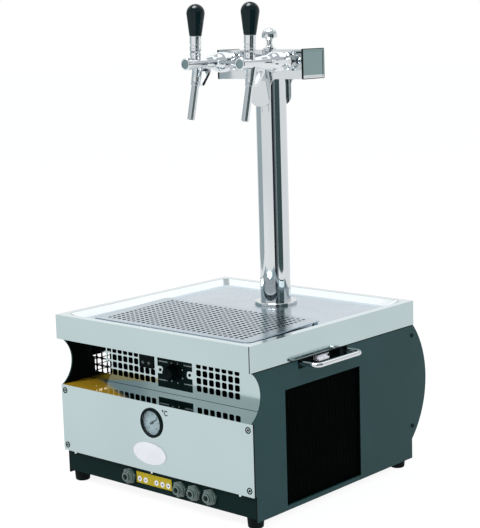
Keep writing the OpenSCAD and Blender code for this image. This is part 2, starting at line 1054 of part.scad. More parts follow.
module compressor() {
  low = panel_z + sheet + grommet_h;
  r = compressor_r;
  color(black)
    translate([compressor_x, compressor_y, low]) {
      rotate_extrude()
        polygon(concat(
          [[0, 3], [r - 12, 3], [r, 16], [r, 58], [r + 4, 58], [r + 4, 64], [r, 64]],
          [for (a = [0:15:90]) [r * cos(a), 64 + (compressor_h - 64) * sin(a)]]
        ));
      for (s = [-1, 1])
        translate([0, s * compressor_foot, 0])
          linear_extrude(3.5)
            rounded(2 * compressor_foot + 24, 26, 6);
      translate([r - 4, -terminal_box / 2, 30])
        cube([16, terminal_box, terminal_box]);
      translate([0, r - 8, compressor_h - 50])
        rotate([-90, 0, 0])
          cylinder(r = 4, h = 24);
    }
}

module compressor_mounts() {
  color(black)
    for (sx = [-1, 1], sy = [-1, 1])
      translate([compressor_x + sx * compressor_foot, compressor_y + sy * compressor_foot, panel_z + sheet])
        rotate_extrude()
          polygon([
            [0, 0], [grommet_r, 0], [grommet_r - 2, grommet_h / 2], [grommet_r, grommet_h], [0, grommet_h]
          ]);
}

// One hairpin bend of the condenser's tube, on the end plate at y
module condenser_bend(y, z, turned) {
  translate([condenser_x + condenser_t / 2, y, z])
    rotate([0, -90, 0])
      rotate(turned ? 180 : 0)
        rotate_extrude(angle = 180)
          translate([condenser_rise / 2, 0])
            circle(r = condenser_tube_r);
}

module condenser() {
  low = panel_z + vent_low;
  color(black) {
    translate([0, 0, panel_z + sheet])
      linear_extrude(vent_h + vent_low - sheet)
        for (i = [0:fin_count - 1])
          translate([condenser_x, side_y - condenser_w / 2 + fin_pitch * i])
            square([condenser_t, fin_t]);
    for (k = [1:condenser_rows - 1])
      if (k % 2 == 1)
        condenser_bend(side_y + condenser_w / 2, low + condenser_rise * k, false);
      else
        condenser_bend(side_y - condenser_w / 2, low + condenser_rise * k, true);
  }
}

module fan_shroud() {
  h = vent_low + vent_h - sheet + 4;
  color(black)
    difference() {
      union() {
        translate([shroud_x, side_y - condenser_w / 2, panel_z + sheet])
          cube([sheet, condenser_w, h]);
        for (s = [-1, 1])
          translate([shroud_x, side_y + s * (condenser_w / 2 - sheet / 2) - sheet / 2, panel_z + sheet])
            cube([condenser_x - shroud_x - free_gap, sheet, h]);
        translate([shroud_x - fan_depth, side_y, fan_z])
          rotate([0, 90, 0])
            ring(fan_opening + 2, fan_opening, fan_depth + eps);
        for (a = [0:90:270])
          translate([shroud_x - fan_depth - 4, side_y, fan_z])
            rotate([a + 45, 0, 0])
              translate([0, -spoke_w / 2, motor_r + seat_gap])
                cube([4 + eps, spoke_w, fan_opening + 1 - motor_r]);
        translate([shroud_x - fan_depth - 4, side_y, fan_z])
          rotate([0, 90, 0])
            ring(motor_r + 5, motor_r + seat_gap, 4);
      }
      translate([shroud_x - 1, side_y, fan_z])
        rotate([0, 90, 0])
          cylinder(r = fan_opening, h = sheet + 2);
    }
}

module fan_motor() {
  front_x = shroud_x - fan_depth;
  color(black)
    translate([front_x, side_y, fan_z])
      rotate([0, -90, 0]) {
        cylinder(r = motor_r, h = motor_l);
        translate([0, 0, -fan_depth + 3])
          cylinder(r = fan_shaft, h = fan_depth);
      }
}

module fan_blades() {
  hub_x = shroud_x - fan_depth + free_gap;
  color(stainless)
    translate([hub_x, side_y, fan_z])
      rotate([0, 90, 0])
        difference() {
          union() {
            cylinder(r = fan_hub, h = fan_depth - 1);
            for (i = [0:4])
              rotate(72 * i)
                translate([fan_hub - 3, 0, (fan_depth - 1) / 2])
                  rotate([24, 0, 0])
                    translate([0, -13, -0.8])
                      cube([fan_r - fan_hub, 26, 1.6]);
          }
          translate([0, 0, -1])
            cylinder(r = fan_shaft + run_gap, h = fan_depth + 2);
        }
}

module tank_insulation() {
  color(foam)
    difference() {
      translate([-bath_x, bath_front, bath_low])
        cube([2 * bath_x, bath_back - bath_front, bath_h]);
      translate([-bath_x + foam_t, bath_front + foam_t, tank_low])
        cube([2 * (bath_x - foam_t), bath_back - bath_front - 2 * foam_t, bath_h]);
      // channel of the mains cord under the tank
      translate([gland_x - gland_r, bath_front - 1, bath_low - 1])
        cube([2 * gland_r, bath_back - bath_front + 2, gland_z + gland_bore + 2 - bath_low + 1]);
    }
}

module water_tank() {
  color(stainless)
    difference() {
      translate([-bath_x + foam_t, bath_front + foam_t, tank_low])
        cube([2 * (bath_x - foam_t), bath_back - bath_front - 2 * foam_t, tank_top - tank_low]);
      translate([-bath_half_x, bath_y - bath_half_y, tank_low + tank_t])
        cube([2 * bath_half_x, 2 * bath_half_y, tank_top]);
    }
}

function bulged(v, e) = sign(v) * pow(abs(v), e);

module evaporator_coil() {
  turn = [
    for (i = [0:evap_turns * evap_rings])
      let (a = 360 * i / evap_rings)
        [
          evap_half_x * bulged(cos(a), evap_square),
          bath_y + evap_half_y * bulged(sin(a), evap_square),
          coil_low + evap_pitch * i / evap_rings
        ]
  ];
  color(copper)
    swept_tube(turn, coil_tube, 6);
}

// Route of the right beer line: up the coil, up the column and round to its shank
beer_path = concat(
  [
    for (i = [0:beer_turns * beer_rings])
      let (a = 270 + 360 * i / beer_rings)
        [
          beer_x + beer_r * cos(a),
          bath_y + beer_r * sin(a),
          coil_low + 2 + beer_pitch * i / beer_rings
        ]
  ],
  [
    [beer_x - 14, bath_y - beer_r, coil_low + 8 + beer_pitch * beer_turns],
    [beer_x - 22, bath_y - beer_r - 2, tank_top - 4],
    [beer_x - 30, column_y, tank_top + 8],
    [40, column_y, tank_top + 12],
    [20, column_y, tank_top + 16],
    [riser_x, column_y, floor_z - column_tail],
    [riser_x, column_y, header_z - 10],
    [riser_x, column_y + 1, header_z + 10],
    [18, column_y + 6, tap_z - 8],
    [30, column_y + 12, tap_z],
    [tap_x - 14, column_y + 16, tap_z],
    [tap_x - 4, column_y + 14, tap_z],
    [tap_x, column_y + 8, tap_z],
    [tap_x, header_y + shank_in + free_gap, tap_z]
  ]
);

module beer_coils() {
  echo(least_gap = beer_pitch - 2 * coil_tube);
  color(stainless)
    for (m = [0, 1])
      mirror([m, 0, 0])
        swept_tube(beer_path, coil_tube, 6);
}

module agitator_motor() {
  color(black)
    translate([0, bath_y, tank_top]) {
      translate([-20, bath_front - bath_y, 0])
        cube([40, bath_back - bath_front, bridge_t]);
      translate([0, 0, bridge_t - eps])
        cylinder(r = agitator_r, h = agitator_h - bridge_t);
      translate([0, 0, -12])
        cylinder(r = agitator_shaft, h = 12 + eps);
    }
}

module agitator_impeller() {
  color(stainless)
    translate([0, bath_y, agitator_low])
      difference() {
        union() {
          cylinder(r = agitator_shaft + 2, h = tank_top - agitator_low - free_gap);
          for (i = [0:2])
            rotate(120 * i)
              translate([0, 0, 7])
                rotate([28, 0, 0])
                  translate([0, -5, -0.8])
                    cube([20, 10, 1.6]);
        }
        translate([0, 0, tank_top - agitator_low - 13])
          cylinder(r = agitator_shaft + run_gap, h = 20);
      }
}

// Tray

module tray_top() {
  in_w = tray_w - 2 * rim_w;
  in_d = tray_d - 2 * rim_w;
  floor_w = in_w - 2 * tray_slope;
  floor_d = in_d - 2 * tray_slope;
  color(stainless)
    translate([0, tray_y, 0])
      difference() {
        union() {
          translate([0, 0, skirt_z])
            linear_extrude(tray_skirt)
              difference() {
                rounded(tray_w, tray_d, 2);
                square([tray_w - 2 * sheet, tray_d - 2 * sheet], center = true);
              }
          translate([0, 0, rim_z - sheet])
            linear_extrude(sheet)
              difference() {
                square([tray_w - 2 * sheet + 1, tray_d - 2 * sheet + 1], center = true);
                rounded(in_w - 1, in_d - 1, 15);
              }
          // sloped wall from the rim down to the floor
          difference() {
            hull() {
              translate([0, 0, rim_z - 1])
                linear_extrude(1)
                  rounded(in_w + 2 * sheet, in_d + 2 * sheet, 16, $fn = 32);
              translate([0, 0, floor_z - sheet])
                linear_extrude(1)
                  rounded(floor_w + 2 * sheet, floor_d + 2 * sheet, 16, $fn = 32);
            }
            hull() {
              translate([0, 0, rim_z])
                linear_extrude(1)
                  rounded(in_w, in_d, 15, $fn = 32);
              translate([0, 0, floor_z])
                linear_extrude(eps)
                  rounded(floor_w, floor_d, 15, $fn = 32);
            }
          }
          // well under the drip grille, with its drain
          translate([0, drip_y - tray_y, well_z - sheet])
            linear_extrude(floor_z - well_z)
              rounded(well_w + 2 * sheet, well_d + 2 * sheet, drip_corner + sheet);
          translate([drain_x, drip_y - tray_y, well_z - sheet - drain_l])
            cylinder(r = drain_r, h = drain_l + eps);
        }
        translate([0, drip_y - tray_y, well_z])
          linear_extrude(well_depth + 1)
            rounded(well_w, well_d, drip_corner);
        translate([drain_x, drip_y - tray_y, well_z - sheet - drain_l - 1])
          cylinder(r = drain_r - 1.5, h = drain_l + 2 * sheet + 2);
        translate([0, column_off, floor_z - 2 * sheet])
          cylinder(r = column_r + seat_gap, h = 4 * sheet);
      }
}

// The grille leans on its front edge and on two pads at the rear
module drip_grille() {
  pad_y = drip_d - drip_corner;
  color(stainless)
    translate([0, drip_y - drip_d / 2, floor_z])
      difference() {
        rotate([drip_tilt, 0, 0]) {
          linear_extrude(sheet)
            difference() {
              translate([0, drip_d / 2])
                rounded(drip_w, drip_d, drip_corner);
              for (i = [0:drip_columns], j = [0:drip_rows])
                translate([(i - drip_columns / 2) * drip_step, drip_d / 2 + (j - drip_rows / 2) * drip_row])
                  circle(d = drip_hole, $fn = 24);
            }
          for (x = [-1, 1])
            translate([x * (drip_w / 2 - drip_corner / 2), pad_y, -drip_rise - 1])
              cylinder(r = drip_pad_r, h = drip_rise + 1 + eps);
        }
        translate([-drip_w, -drip_d, -drip_rise - 5])
          cube([2 * drip_w, 3 * drip_d, drip_rise + 5]);
      }
}

// Column and header

module column_tube() {
  low = floor_z - column_tail;
  color(polished)
    translate([0, column_y, low])
      ring(column_r, column_r - column_wall, column_top - low, $fn = 96);
}

module column_flange() {
  r = flange_d / 2;
  bore = column_r + seat_gap;
  color(polished)
    translate([0, column_y, floor_z]) {
      rotate_extrude($fn = 96)
        polygon([[bore, 0], [r, 0], [r, flange_h - 1], [r - 1, flange_h], [bore, flange_h]]);
      translate([0, 0, -sheet - ring_nut_h])
        ring(column_r + 7, bore, ring_nut_h);
    }
}

// Front or rear plate of the header with its tongue, on X and Z
module header_plate() {
  half = tongue_w / 2;
  translate([-header_w / 2, header_z])
    square([header_w, header_h]);
  translate([-half, header_z - tongue_l + tongue_round])
    square([tongue_w, tongue_l - tongue_round + 1]);
  translate([-half + tongue_round, header_z - tongue_l])
    square([tongue_w - 2 * tongue_round, tongue_round + 1]);
  for (s = [-1, 1]) {
    translate([s * (half - tongue_round), header_z - tongue_l + tongue_round])
      circle(r = tongue_round);
    difference() {
      translate([s > 0 ? half - 1 : -half - tongue_fillet, header_z - tongue_fillet])
        square([tongue_fillet + 1, tongue_fillet + 1]);
      translate([s * (half + tongue_fillet), header_z - tongue_fillet])
        circle(r = tongue_fillet);
    }
  }
}

module header_body() {
  color(polished)
    difference() {
      union() {
        for (y = [header_y + sheet, header_y + header_d])
          to_front(y)
            linear_extrude(sheet)
              header_plate();
        for (z = [header_z, header_z + header_h - sheet])
          translate([-header_w / 2, header_y + eps, z])
            cube([header_w, header_d - 2 * eps, sheet]);
      }
      translate([0, column_y, header_z - 1])
        cylinder(r = column_r + seat_gap / 2, h = sheet + 2);
      for (s = [-1, 1])
        to_front(header_y + 2 * sheet)
          translate([s * tap_x, tap_z])
            cylinder(r = shank_r + seat_gap, h = 4 * sheet);
      translate([0, column_y, header_z + header_h - 2 * sheet])
        cylinder(r = 3 + seat_gap, h = 4 * sheet);
    }
}

module header_end_caps() {
  rim = 4;
  color(stainless)
    for (m = [0, 1])
      mirror([m, 0, 0])
        translate([header_w / 2, column_y, header_mid])
          rotate([90, 0, 90])
            difference() {
              union() {
                linear_extrude(cap_t)
                  rounded(header_d + 1, header_h + 1, 2);
                translate([0, 0, -cap_plug])
                  linear_extrude(cap_plug + eps)
                    square([header_d - 2 * sheet - 2 * seat_gap, header_h - 2 * sheet - 2 * seat_gap], center = true);
              }
              translate([0, 0, -cap_plug - 1])
                linear_extrude(cap_plug)
                  square([header_d - 2 * sheet - 6, header_h - 2 * sheet - 6], center = true);
              translate([0, 0, cap_t - 0.6])
                linear_extrude(1)
                  rounded(header_d + 1 - 2 * rim, header_h + 1 - 2 * rim, 1);
            }
}

module header_knob() {
  r = finial_r;
  dome_z = finial_h - r;
  color(polished)
    translate([0, column_y, header_z + header_h])
      rotate_extrude()
        polygon(concat(
          [[0, -8], [3, -8], [3, 0], [11, 0], [11, 1.5], [7.5, 4], [5.2, 8], [4.6, 12], [5.6, 16], [9, 20]],
          [for (a = [-15:15:90]) [r * cos(a), dome_z + r * sin(a)]]
        ));
}

// Taps

module at_tap(s) {
  translate([s * tap_x, header_y, tap_z])
    children();
}

module tap_shanks() {
  color(polished)
    for (s = [-1, 1])
      at_tap(s) {
        translate([0, shank_in, 0])
          rotate([90, 0, 0])
            ring(shank_r, shank_bore, shank_in + shank_out);
        translate([0, sheet + 6, 0])
          rotate([90, 0, 0])
            difference() {
              cylinder(r = shank_nut_r, h = 6, $fn = 6);
              translate([0, 0, -1])
                cylinder(r = shank_r + seat_gap, h = 8);
            }
      }
}

// Outline of the tap's flow control and barrel, as radius and distance from the header
module tap_profile() {
  b = barrel_r;
  f = flow_r;
  polygon([
    [0, 0], [f - 2.5, 0], [f - 2.5, 5], [f - 4.5, 7], [f - 4.5, 10], [f - 1, 13], [f, 22], [f, 34],
    [f - 1.2, 40], [f - 3.4, 46], [b + 2.2, 52], [b + 1.6, 54], [b + 1.6, 58], [b + 0.6, 66],
    [b - 0.6, 76], [b - 0.6, tap_l - 12], [b, tap_l - 9], [b, tap_l - 1], [b - 1, tap_l],
    [b - 2.6, tap_l], [b - 2.6, tap_l - 1.2], [0, tap_l - 1.2]
  ]);
}

// Strap behind the spout's neck, on Y and Z
module strap_outline() {
  knee = 22;
  polygon([
    [knee - 22, -barrel_r + 2], [knee, -barrel_r + 2], [knee + 4, -barrel_r - 1],
    [knee + 4.5, -barrel_r - 5], [9, -neck_l - 5], [5, -neck_l - 6], [4, -neck_l - 2],
    [knee - 1, -barrel_r - 5], [knee - 4, -barrel_r - 3], [knee - 22, -barrel_r - 3]
  ]);
}

module tap_body(s) {
  color(polished)
    at_tap(s)
      difference() {
        union() {
          rotate([90, 0, 0])
            rotate_extrude()
              tap_profile();
          translate([0, -lever_off, 0])
            cylinder(r = bonnet_r, h = pivot_rise - 2);
          translate([0, -lever_off, pivot_rise])
            sphere(r = ball_r);
          translate([0, -lever_off + neck_off, 0])
            rotate([-spout_slant, 0, 0])
              translate([0, 0, -neck_l])
                cylinder(r1 = neck_r, r2 = neck_r + 1, h = neck_l);
          translate([-4.5, -lever_off + neck_off, 0])
            rotate([90, 0, 90])
              linear_extrude(9)
                strap_outline();
          translate([0, -flow_pivot, 0])
            rotate([0, 90, 0]) {
              cylinder(r = 6, h = flow_x);
              cylinder(r = flow_pin_r, h = flow_x + flow_arm_t + 2 * free_gap);
            }
        }
        // socket for the shank
        translate([0, 1, 0])
          rotate([90, 0, 0])
            cylinder(r = shank_r + seat_gap, h = shank_out + 1 + seat_gap);
        // bore of the plunger
        translate([0, -lever_off + plunger_back, 0])
          rotate([90, 0, 0])
            cylinder(r = plunger_r + run_gap, h = plunger_back + plunger_front + 5);
        // slot that the lever's tip swings in
        translate([-slot_half, -lever_off, pivot_rise])
          rotate([90, 0, 90])
            linear_extrude(2 * slot_half)
              polygon([
                [-10, 10], [10, 10], [10, 4], [4, -1], [7.2, -6], [13.6, -9], [14, -16],
                [-9.5, -16], [-7, -9], [-4, -1], [-10, 4]
              ]);
        // cross bore of the lever's pin
        translate([-bonnet_r - 2, -lever_off, pivot_rise])
          rotate([0, 90, 0])
            cylinder(r = stem_r + run_gap, h = 2 * bonnet_r + 4);
        // socket of the spout
        translate([0, -lever_off + neck_off, 0])
          rotate([-spout_slant, 0, 0])
            translate([0, 0, -neck_l - 1])
              cylinder(r = spout_r + seat_gap, h = spout_in + 1);
      }
}

module left_tap_body() {
  tap_body(-1);
}

module right_tap_body() {
  tap_body(1);
}

module tap_spouts() {
  color(polished)
    for (s = [-1, 1])
      at_tap(s)
        translate([0, -lever_off + neck_off, 0])
          rotate([-spout_slant, 0, 0])
            translate([0, 0, -neck_l - spout_l]) {
              ring(spout_r, spout_bore, spout_l + spout_in - seat_gap);
              translate([0, 0, spout_l - 6 - seat_gap])
                ring(neck_r - 0.4, spout_r - eps, 6);
            }
}

// Places a child on a lever's axis, with its zero at the pivot
module at_lever(s) {
  translate([s * tap_x, lever_y, pivot_z])
    rotate([-lever_lean, 0, 0])
      children();
}

module tap_lever(s) {
  r = ferrule_r;
  color(polished)
    at_lever(s)
      union() {
        difference() {
          rotate_extrude()
            polygon([
              [0, collar_low], [r, collar_low], [r, collar_low + 3], [r - 0.8, collar_low + 3.6],
              [r, collar_low + 4.2], [r, collar_top - 1], [r - 1, collar_top], [r - 1, collar_top + 1],
              [r, collar_top + 2], [r, ferrule_top - 1], [r - 0.5, ferrule_top], [0, ferrule_top]
            ]);
          sphere(r = seat_r);
        }
        translate([0, 0, ferrule_top - eps])
          cylinder(r = stud_r, h = stud_l);
        translate([0, 0, -pivot_rise])
          cylinder(r = stem_r, h = pivot_rise + seat_r + 1);
        translate([0, 0, -pivot_rise])
          sphere(r = tip_r);
        translate([-slot_half + free_gap, 0, 0])
          rotate([0, 90, 0])
            cylinder(r = hub_r, h = 2 * (slot_half - free_gap));
        translate([-bonnet_r + 1, 0, 0])
          rotate([0, 90, 0])
            cylinder(r = stem_r, h = 2 * bonnet_r - 2);
      }
}

module left_tap_lever() {
  tap_lever(-1);
}

module right_tap_lever() {
  tap_lever(1);
}

module tap_grip(s) {
  r = grip_d / 2;
  dome = grip_l - r * 1.02;
  color(black)
    at_lever(s)
      translate([0, 0, ferrule_top])
        difference() {
          rotate_extrude($fn = 64)
            polygon(concat(
              [[0, 0], [ferrule_r, 0], [ferrule_r + 0.5, 1]],
              [for (t = [0.25:0.25:0.75]) [ferrule_r + 0.5 + (r - ferrule_r - 0.5) * t, dome * t]],
              [for (a = [0:10:90]) [r * cos(a), dome + (grip_l - dome) * sin(a)]]
            ));
          translate([0, 0, -1])
            cylinder(r = stud_r + seat_gap, h = stud_l + 1.2);
        }
}

module left_tap_grip() {
  tap_grip(-1);
}

module right_tap_grip() {
  tap_grip(1);
}

module flow_lever(s) {
  color(polished)
    at_tap(s)
      translate([flow_x + free_gap, -flow_pivot, 0])
        rotate([90, 0, 90])
          linear_extrude(flow_arm_t)
            difference() {
              union() {
                circle(r = 6.5);
                polygon([[0, -4], [0, 4], [-flow_arm, 3], [-flow_arm, -1]]);
                translate([-flow_arm, 1])
                  circle(r = 3.4);
              }
              circle(r = flow_pin_r + run_gap);
            }
}

module left_flow_lever() {
  flow_lever(-1);
}

module right_flow_lever() {
  flow_lever(1);
}

module tap_plunger(s) {
  tip_y = lever_y - pivot_rise * sin(lever_lean);
  half = tip_r + plunger_gap;
  color(port_grey)
    translate([s * tap_x, tip_y, tap_z])
      difference() {
        translate([0, 10, 0])
          rotate([90, 0, 0])
            cylinder(r = plunger_r, h = 24);
        translate([-plunger_r - 1, -half, -tip_r - free_gap])
          cube([2 * plunger_r + 2, 2 * half, 2 * plunger_r + 2]);
      }
}

module left_plunger() {
  tap_plunger(-1);
}

module right_plunger() {
  tap_plunger(1);
}

base_pan();
feet();
left_side_panel();
right_side_panel();
rear_cover();
front_panel();
grille_panel();
front_screws();
side_screws();
left_handle();
right_handle();
handle_guides();
handle_stops();
thermostat();
thermostat_knob();
terminal_cover();
thermometer_case();
thermometer_dial();
thermometer_needle();
thermometer_lens();
badge_plate();
port_label();
bulkhead_bodies();
bulkhead_nuts();
inlet_collet();
outlet_collet();
left_beer_collet();
right_beer_collet();
cord_gland();
compressor();
compressor_mounts();
condenser();
fan_shroud();
fan_motor();
fan_blades();
water_tank();
tank_insulation();
evaporator_coil();
beer_coils();
agitator_motor();
agitator_impeller();
tray_top();
drip_grille();
column_tube();
column_flange();
header_body();
header_end_caps();
header_knob();
tap_shanks();
left_tap_body();
right_tap_body();
tap_spouts();
left_tap_lever();
right_tap_lever();
left_tap_grip();
right_tap_grip();
left_flow_lever();
right_flow_lever();
left_plunger();
right_plunger();
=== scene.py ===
# Finishes and fine pieces of the beer tap cooler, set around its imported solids.
import json
import math

import bpy
from mathutils import Matrix, Vector

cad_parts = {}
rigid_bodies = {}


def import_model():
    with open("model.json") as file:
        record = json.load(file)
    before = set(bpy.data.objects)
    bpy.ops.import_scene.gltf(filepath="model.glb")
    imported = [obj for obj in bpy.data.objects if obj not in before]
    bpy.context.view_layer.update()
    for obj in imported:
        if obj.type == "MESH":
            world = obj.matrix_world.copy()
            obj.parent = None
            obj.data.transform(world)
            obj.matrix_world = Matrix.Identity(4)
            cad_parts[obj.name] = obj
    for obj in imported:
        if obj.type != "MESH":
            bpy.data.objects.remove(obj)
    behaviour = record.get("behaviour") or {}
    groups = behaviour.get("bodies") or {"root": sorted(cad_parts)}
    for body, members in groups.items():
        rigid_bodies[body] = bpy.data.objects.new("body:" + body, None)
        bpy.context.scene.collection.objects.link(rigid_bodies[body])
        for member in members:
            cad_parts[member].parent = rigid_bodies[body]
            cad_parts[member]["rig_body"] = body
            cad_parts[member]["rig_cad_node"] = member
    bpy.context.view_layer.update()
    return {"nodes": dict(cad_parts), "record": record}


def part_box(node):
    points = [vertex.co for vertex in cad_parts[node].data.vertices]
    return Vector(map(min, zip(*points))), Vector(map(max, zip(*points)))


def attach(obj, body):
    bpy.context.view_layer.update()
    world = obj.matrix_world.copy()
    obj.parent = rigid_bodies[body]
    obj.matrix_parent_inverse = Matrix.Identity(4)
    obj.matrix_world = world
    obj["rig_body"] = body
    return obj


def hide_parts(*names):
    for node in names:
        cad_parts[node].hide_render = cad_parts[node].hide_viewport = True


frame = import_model()
nodes = frame["nodes"]
node_slots = {row["node"]: row["material_slot"] for row in frame["record"]["subparts"]}
node_bodies = {
    node: body
    for body, members in frame["record"]["behaviour"]["bodies"].items()
    for node in members
}
mm = 0.001
# edges over this angle, in degrees, count as sharp
sharp_angle = 32
edge_segments = 2
# a face looks along an axis where that part of its normal is over the first, and squarely over the second
facing = 0.9
squarely = 0.99
# a flat piece turned by this about x stands upright and looks to the front
to_front = math.pi / 2


def box_mm(node):
    """Lowest and highest corner of a solid, in mm."""
    low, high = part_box(node)
    return low / mm, high / mm


# Picking and finishing objects

def pick(*pieces):
    """Makes these the only selected objects, and the first the active one."""
    bpy.ops.object.select_all(action="DESELECT")
    for piece in pieces:
        piece.select_set(True)
    bpy.context.view_layer.objects.active = pieces[0]


def join(pieces):
    pick(*pieces)
    bpy.ops.object.join()
    return bpy.context.object


def apply_modifiers(piece):
    pick(piece)
    for modifier in list(piece.modifiers):
        bpy.ops.object.modifier_apply(modifier=modifier.name)


def round_edges(piece, width):
    bevel = piece.modifiers.new("edges", "BEVEL")
    bevel.width = width * mm
    bevel.segments = edge_segments
    bevel.limit_method = "ANGLE"
    bevel.angle_limit = math.radians(sharp_angle)
    apply_modifiers(piece)


def smooth_round_faces(piece, angle=sharp_angle):
    """Smooths round faces and keeps flat faces flat."""
    pick(piece)
    bpy.ops.object.shade_smooth_by_angle(angle=math.radians(angle))
    flat = piece.modifiers.new("flat_faces", "WEIGHTED_NORMAL")
    flat.keep_sharp = True
    apply_modifiers(piece)


def carve(piece, cutter):
    """Cuts a shape out of a piece and removes the cutter."""
    cut = piece.modifiers.new("cut", "BOOLEAN")
    cut.operation = "DIFFERENCE"
    cut.solver = "EXACT"
    cut.object = cutter
    apply_modifiers(piece)
    pick(cutter)
    bpy.ops.object.delete()


def wear(piece, finish):
    """Gives all the faces of a piece one finish."""
    piece.data.materials.clear()
    piece.data.materials.append(finish)
    for face in piece.data.polygons:
        face.material_index = 0
    return piece


def copy_solid(node):
    """Copies a solid, merges its loose triangles and joins those that lie flat."""
    merge_gap = 0.002
    flat_angle = 0.4
    pick(nodes[node])
    bpy.ops.object.duplicate()
    piece = bpy.context.object
    piece.name = node + "_finish"
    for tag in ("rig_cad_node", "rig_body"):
        del piece[tag]
    bpy.ops.mesh.customdata_custom_splitnormals_clear()
    bpy.ops.object.mode_set(mode="EDIT")
    bpy.ops.mesh.select_all(action="SELECT")
    bpy.ops.mesh.remove_doubles(threshold=merge_gap * mm)
    bpy.ops.mesh.dissolve_limited(angle_limit=math.radians(flat_angle))
    bpy.ops.object.mode_set(mode="OBJECT")
    return piece


def stand_for(piece, node):
    """Sets a finished copy on its solid's body, in the solid's place."""
    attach(piece, node_bodies[node])
    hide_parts(node)
    return piece


def dress(node, edge=0.0, cutter=None):
    """Copies a solid, cuts and rounds it, and smooths its round faces. The copy stands for the solid."""
    piece = copy_solid(node)
    if cutter:
        carve(piece, cutter)
    if edge:
        round_edges(piece, edge)
    smooth_round_faces(piece)
    return wear(stand_for(piece, node), slot_finishes[node_slots[node]])


# Making small pieces

def add_block(size, place, turn=(0, 0, 0)):
    """A block about a place, with its size and turn written into its mesh."""
    bpy.ops.object.select_all(action="DESELECT")
    bpy.ops.mesh.primitive_cube_add(
        size=1.0,
        location=Vector(place) * mm,
        rotation=turn,
        scale=Vector(size) * mm,
    )
    bpy.ops.object.transform_apply(location=False, rotation=True, scale=True)
    return bpy.context.object


def add_mark(corners, radius, place, turn=0.0, depth=0.1):
    """A flat printed mark on a face to the front, started from a filled circle."""
    bpy.ops.object.select_all(action="DESELECT")
    bpy.ops.mesh.primitive_circle_add(
        vertices=corners,
        radius=radius * mm,
        fill_type="NGON",
        location=Vector(place) * mm,
        rotation=(to_front, turn, 0),
    )
    bpy.ops.object.mode_set(mode="EDIT")
    bpy.ops.mesh.extrude_region_move(TRANSFORM_OT_translate={"value": (0, -depth * mm, 0)})
    bpy.ops.mesh.select_all(action="SELECT")
    bpy.ops.mesh.normals_make_consistent(inside=False)
    bpy.ops.object.mode_set(mode="OBJECT")
    return bpy.context.object


def add_text(words, size, place, thicken=0.0, depth=0.05):
    """Plain figures on a face to the front."""
    bpy.ops.object.select_all(action="DESELECT")
    bpy.ops.object.text_add(location=Vector(place) * mm, rotation=(to_front, 0, 0))
    mark = bpy.context.object
    mark.data.body = words
    mark.data.size = size * mm
    mark.data.extrude = depth * mm
    mark.data.offset = thicken * mm
    mark.data.align_x = "CENTER"
    mark.data.align_y = "CENTER"
    bpy.ops.object.convert(target="MESH")
    return bpy.context.object


def settle(piece, name, finish):
    """Writes a new piece's place into its mesh, and sets it on the cabinet with its finish."""
    pick(piece)
    bpy.ops.object.transform_apply(location=True, rotation=True, scale=True)
    piece.name = name
    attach(piece, "cabinet")
    return wear(piece, finish)


# Shared effects

level_lines = (30, 1500, 1500)
upright_lines = (1500, 1500, 30)
even_lines = (400, 400, 400)


def new_group(name, inputs, outputs):
    tree = bpy.data.node_groups.new(name, "ShaderNodeTree")
    for label, kind, start in inputs:
        socket = tree.interface.new_socket(label, in_out="INPUT", socket_type=kind)
        if start is not None:
            socket.default_value = start
    for label, kind in outputs:
        tree.interface.new_socket(label, in_out="OUTPUT", socket_type=kind)
    return tree, tree.nodes.new("NodeGroupInput"), tree.nodes.new("NodeGroupOutput")


def noise(tree, vector, scale, detail=2.0, roughness=0.5):
    texture = tree.nodes.new("ShaderNodeTexNoise")
    texture.inputs["Scale"].default_value = scale
    texture.inputs["Detail"].default_value = detail
    texture.inputs["Roughness"].default_value = roughness
    tree.links.new(vector, texture.inputs["Vector"])
    return texture.outputs["Fac"]


def spread(tree, value, low, high):
    """Maps a noise value, which keeps near its middle, onto the span from low to high."""
    span = tree.nodes.new("ShaderNodeMapRange")
    span.inputs["From Min"].default_value = 0.3
    span.inputs["From Max"].default_value = 0.7
    span.inputs["To Min"].default_value = low
    span.inputs["To Max"].default_value = high
    tree.links.new(value, span.inputs["Value"])
    return span.outputs["Result"]


def make_grain():
    """Fine lines of rolled or polished sheet, with wiping marks and a broad tint."""
    tree, given, made = new_group(
        "sheet_grain",
        [("Vector", "NodeSocketVector", None), ("Stretch", "NodeSocketVector", level_lines)],
        [("Lines", "NodeSocketFloat"), ("Wipes", "NodeSocketFloat"), ("Tint", "NodeSocketFloat")],
    )
    place = given.outputs["Vector"]
    stretch = tree.nodes.new("ShaderNodeVectorMath")
    stretch.operation = "MULTIPLY"
    tree.links.new(place, stretch.inputs[0])
    tree.links.new(given.outputs["Stretch"], stretch.inputs[1])
    lines = noise(tree, stretch.outputs["Vector"], scale=1.0, detail=3.0, roughness=0.6)
    wipes = noise(tree, place, scale=22.0, detail=4.0, roughness=0.55)
    tint = noise(tree, place, scale=5.0, detail=1.0)
    tree.links.new(lines, made.inputs["Lines"])
    tree.links.new(wipes, made.inputs["Wipes"])
    tree.links.new(tint, made.inputs["Tint"])
    return tree


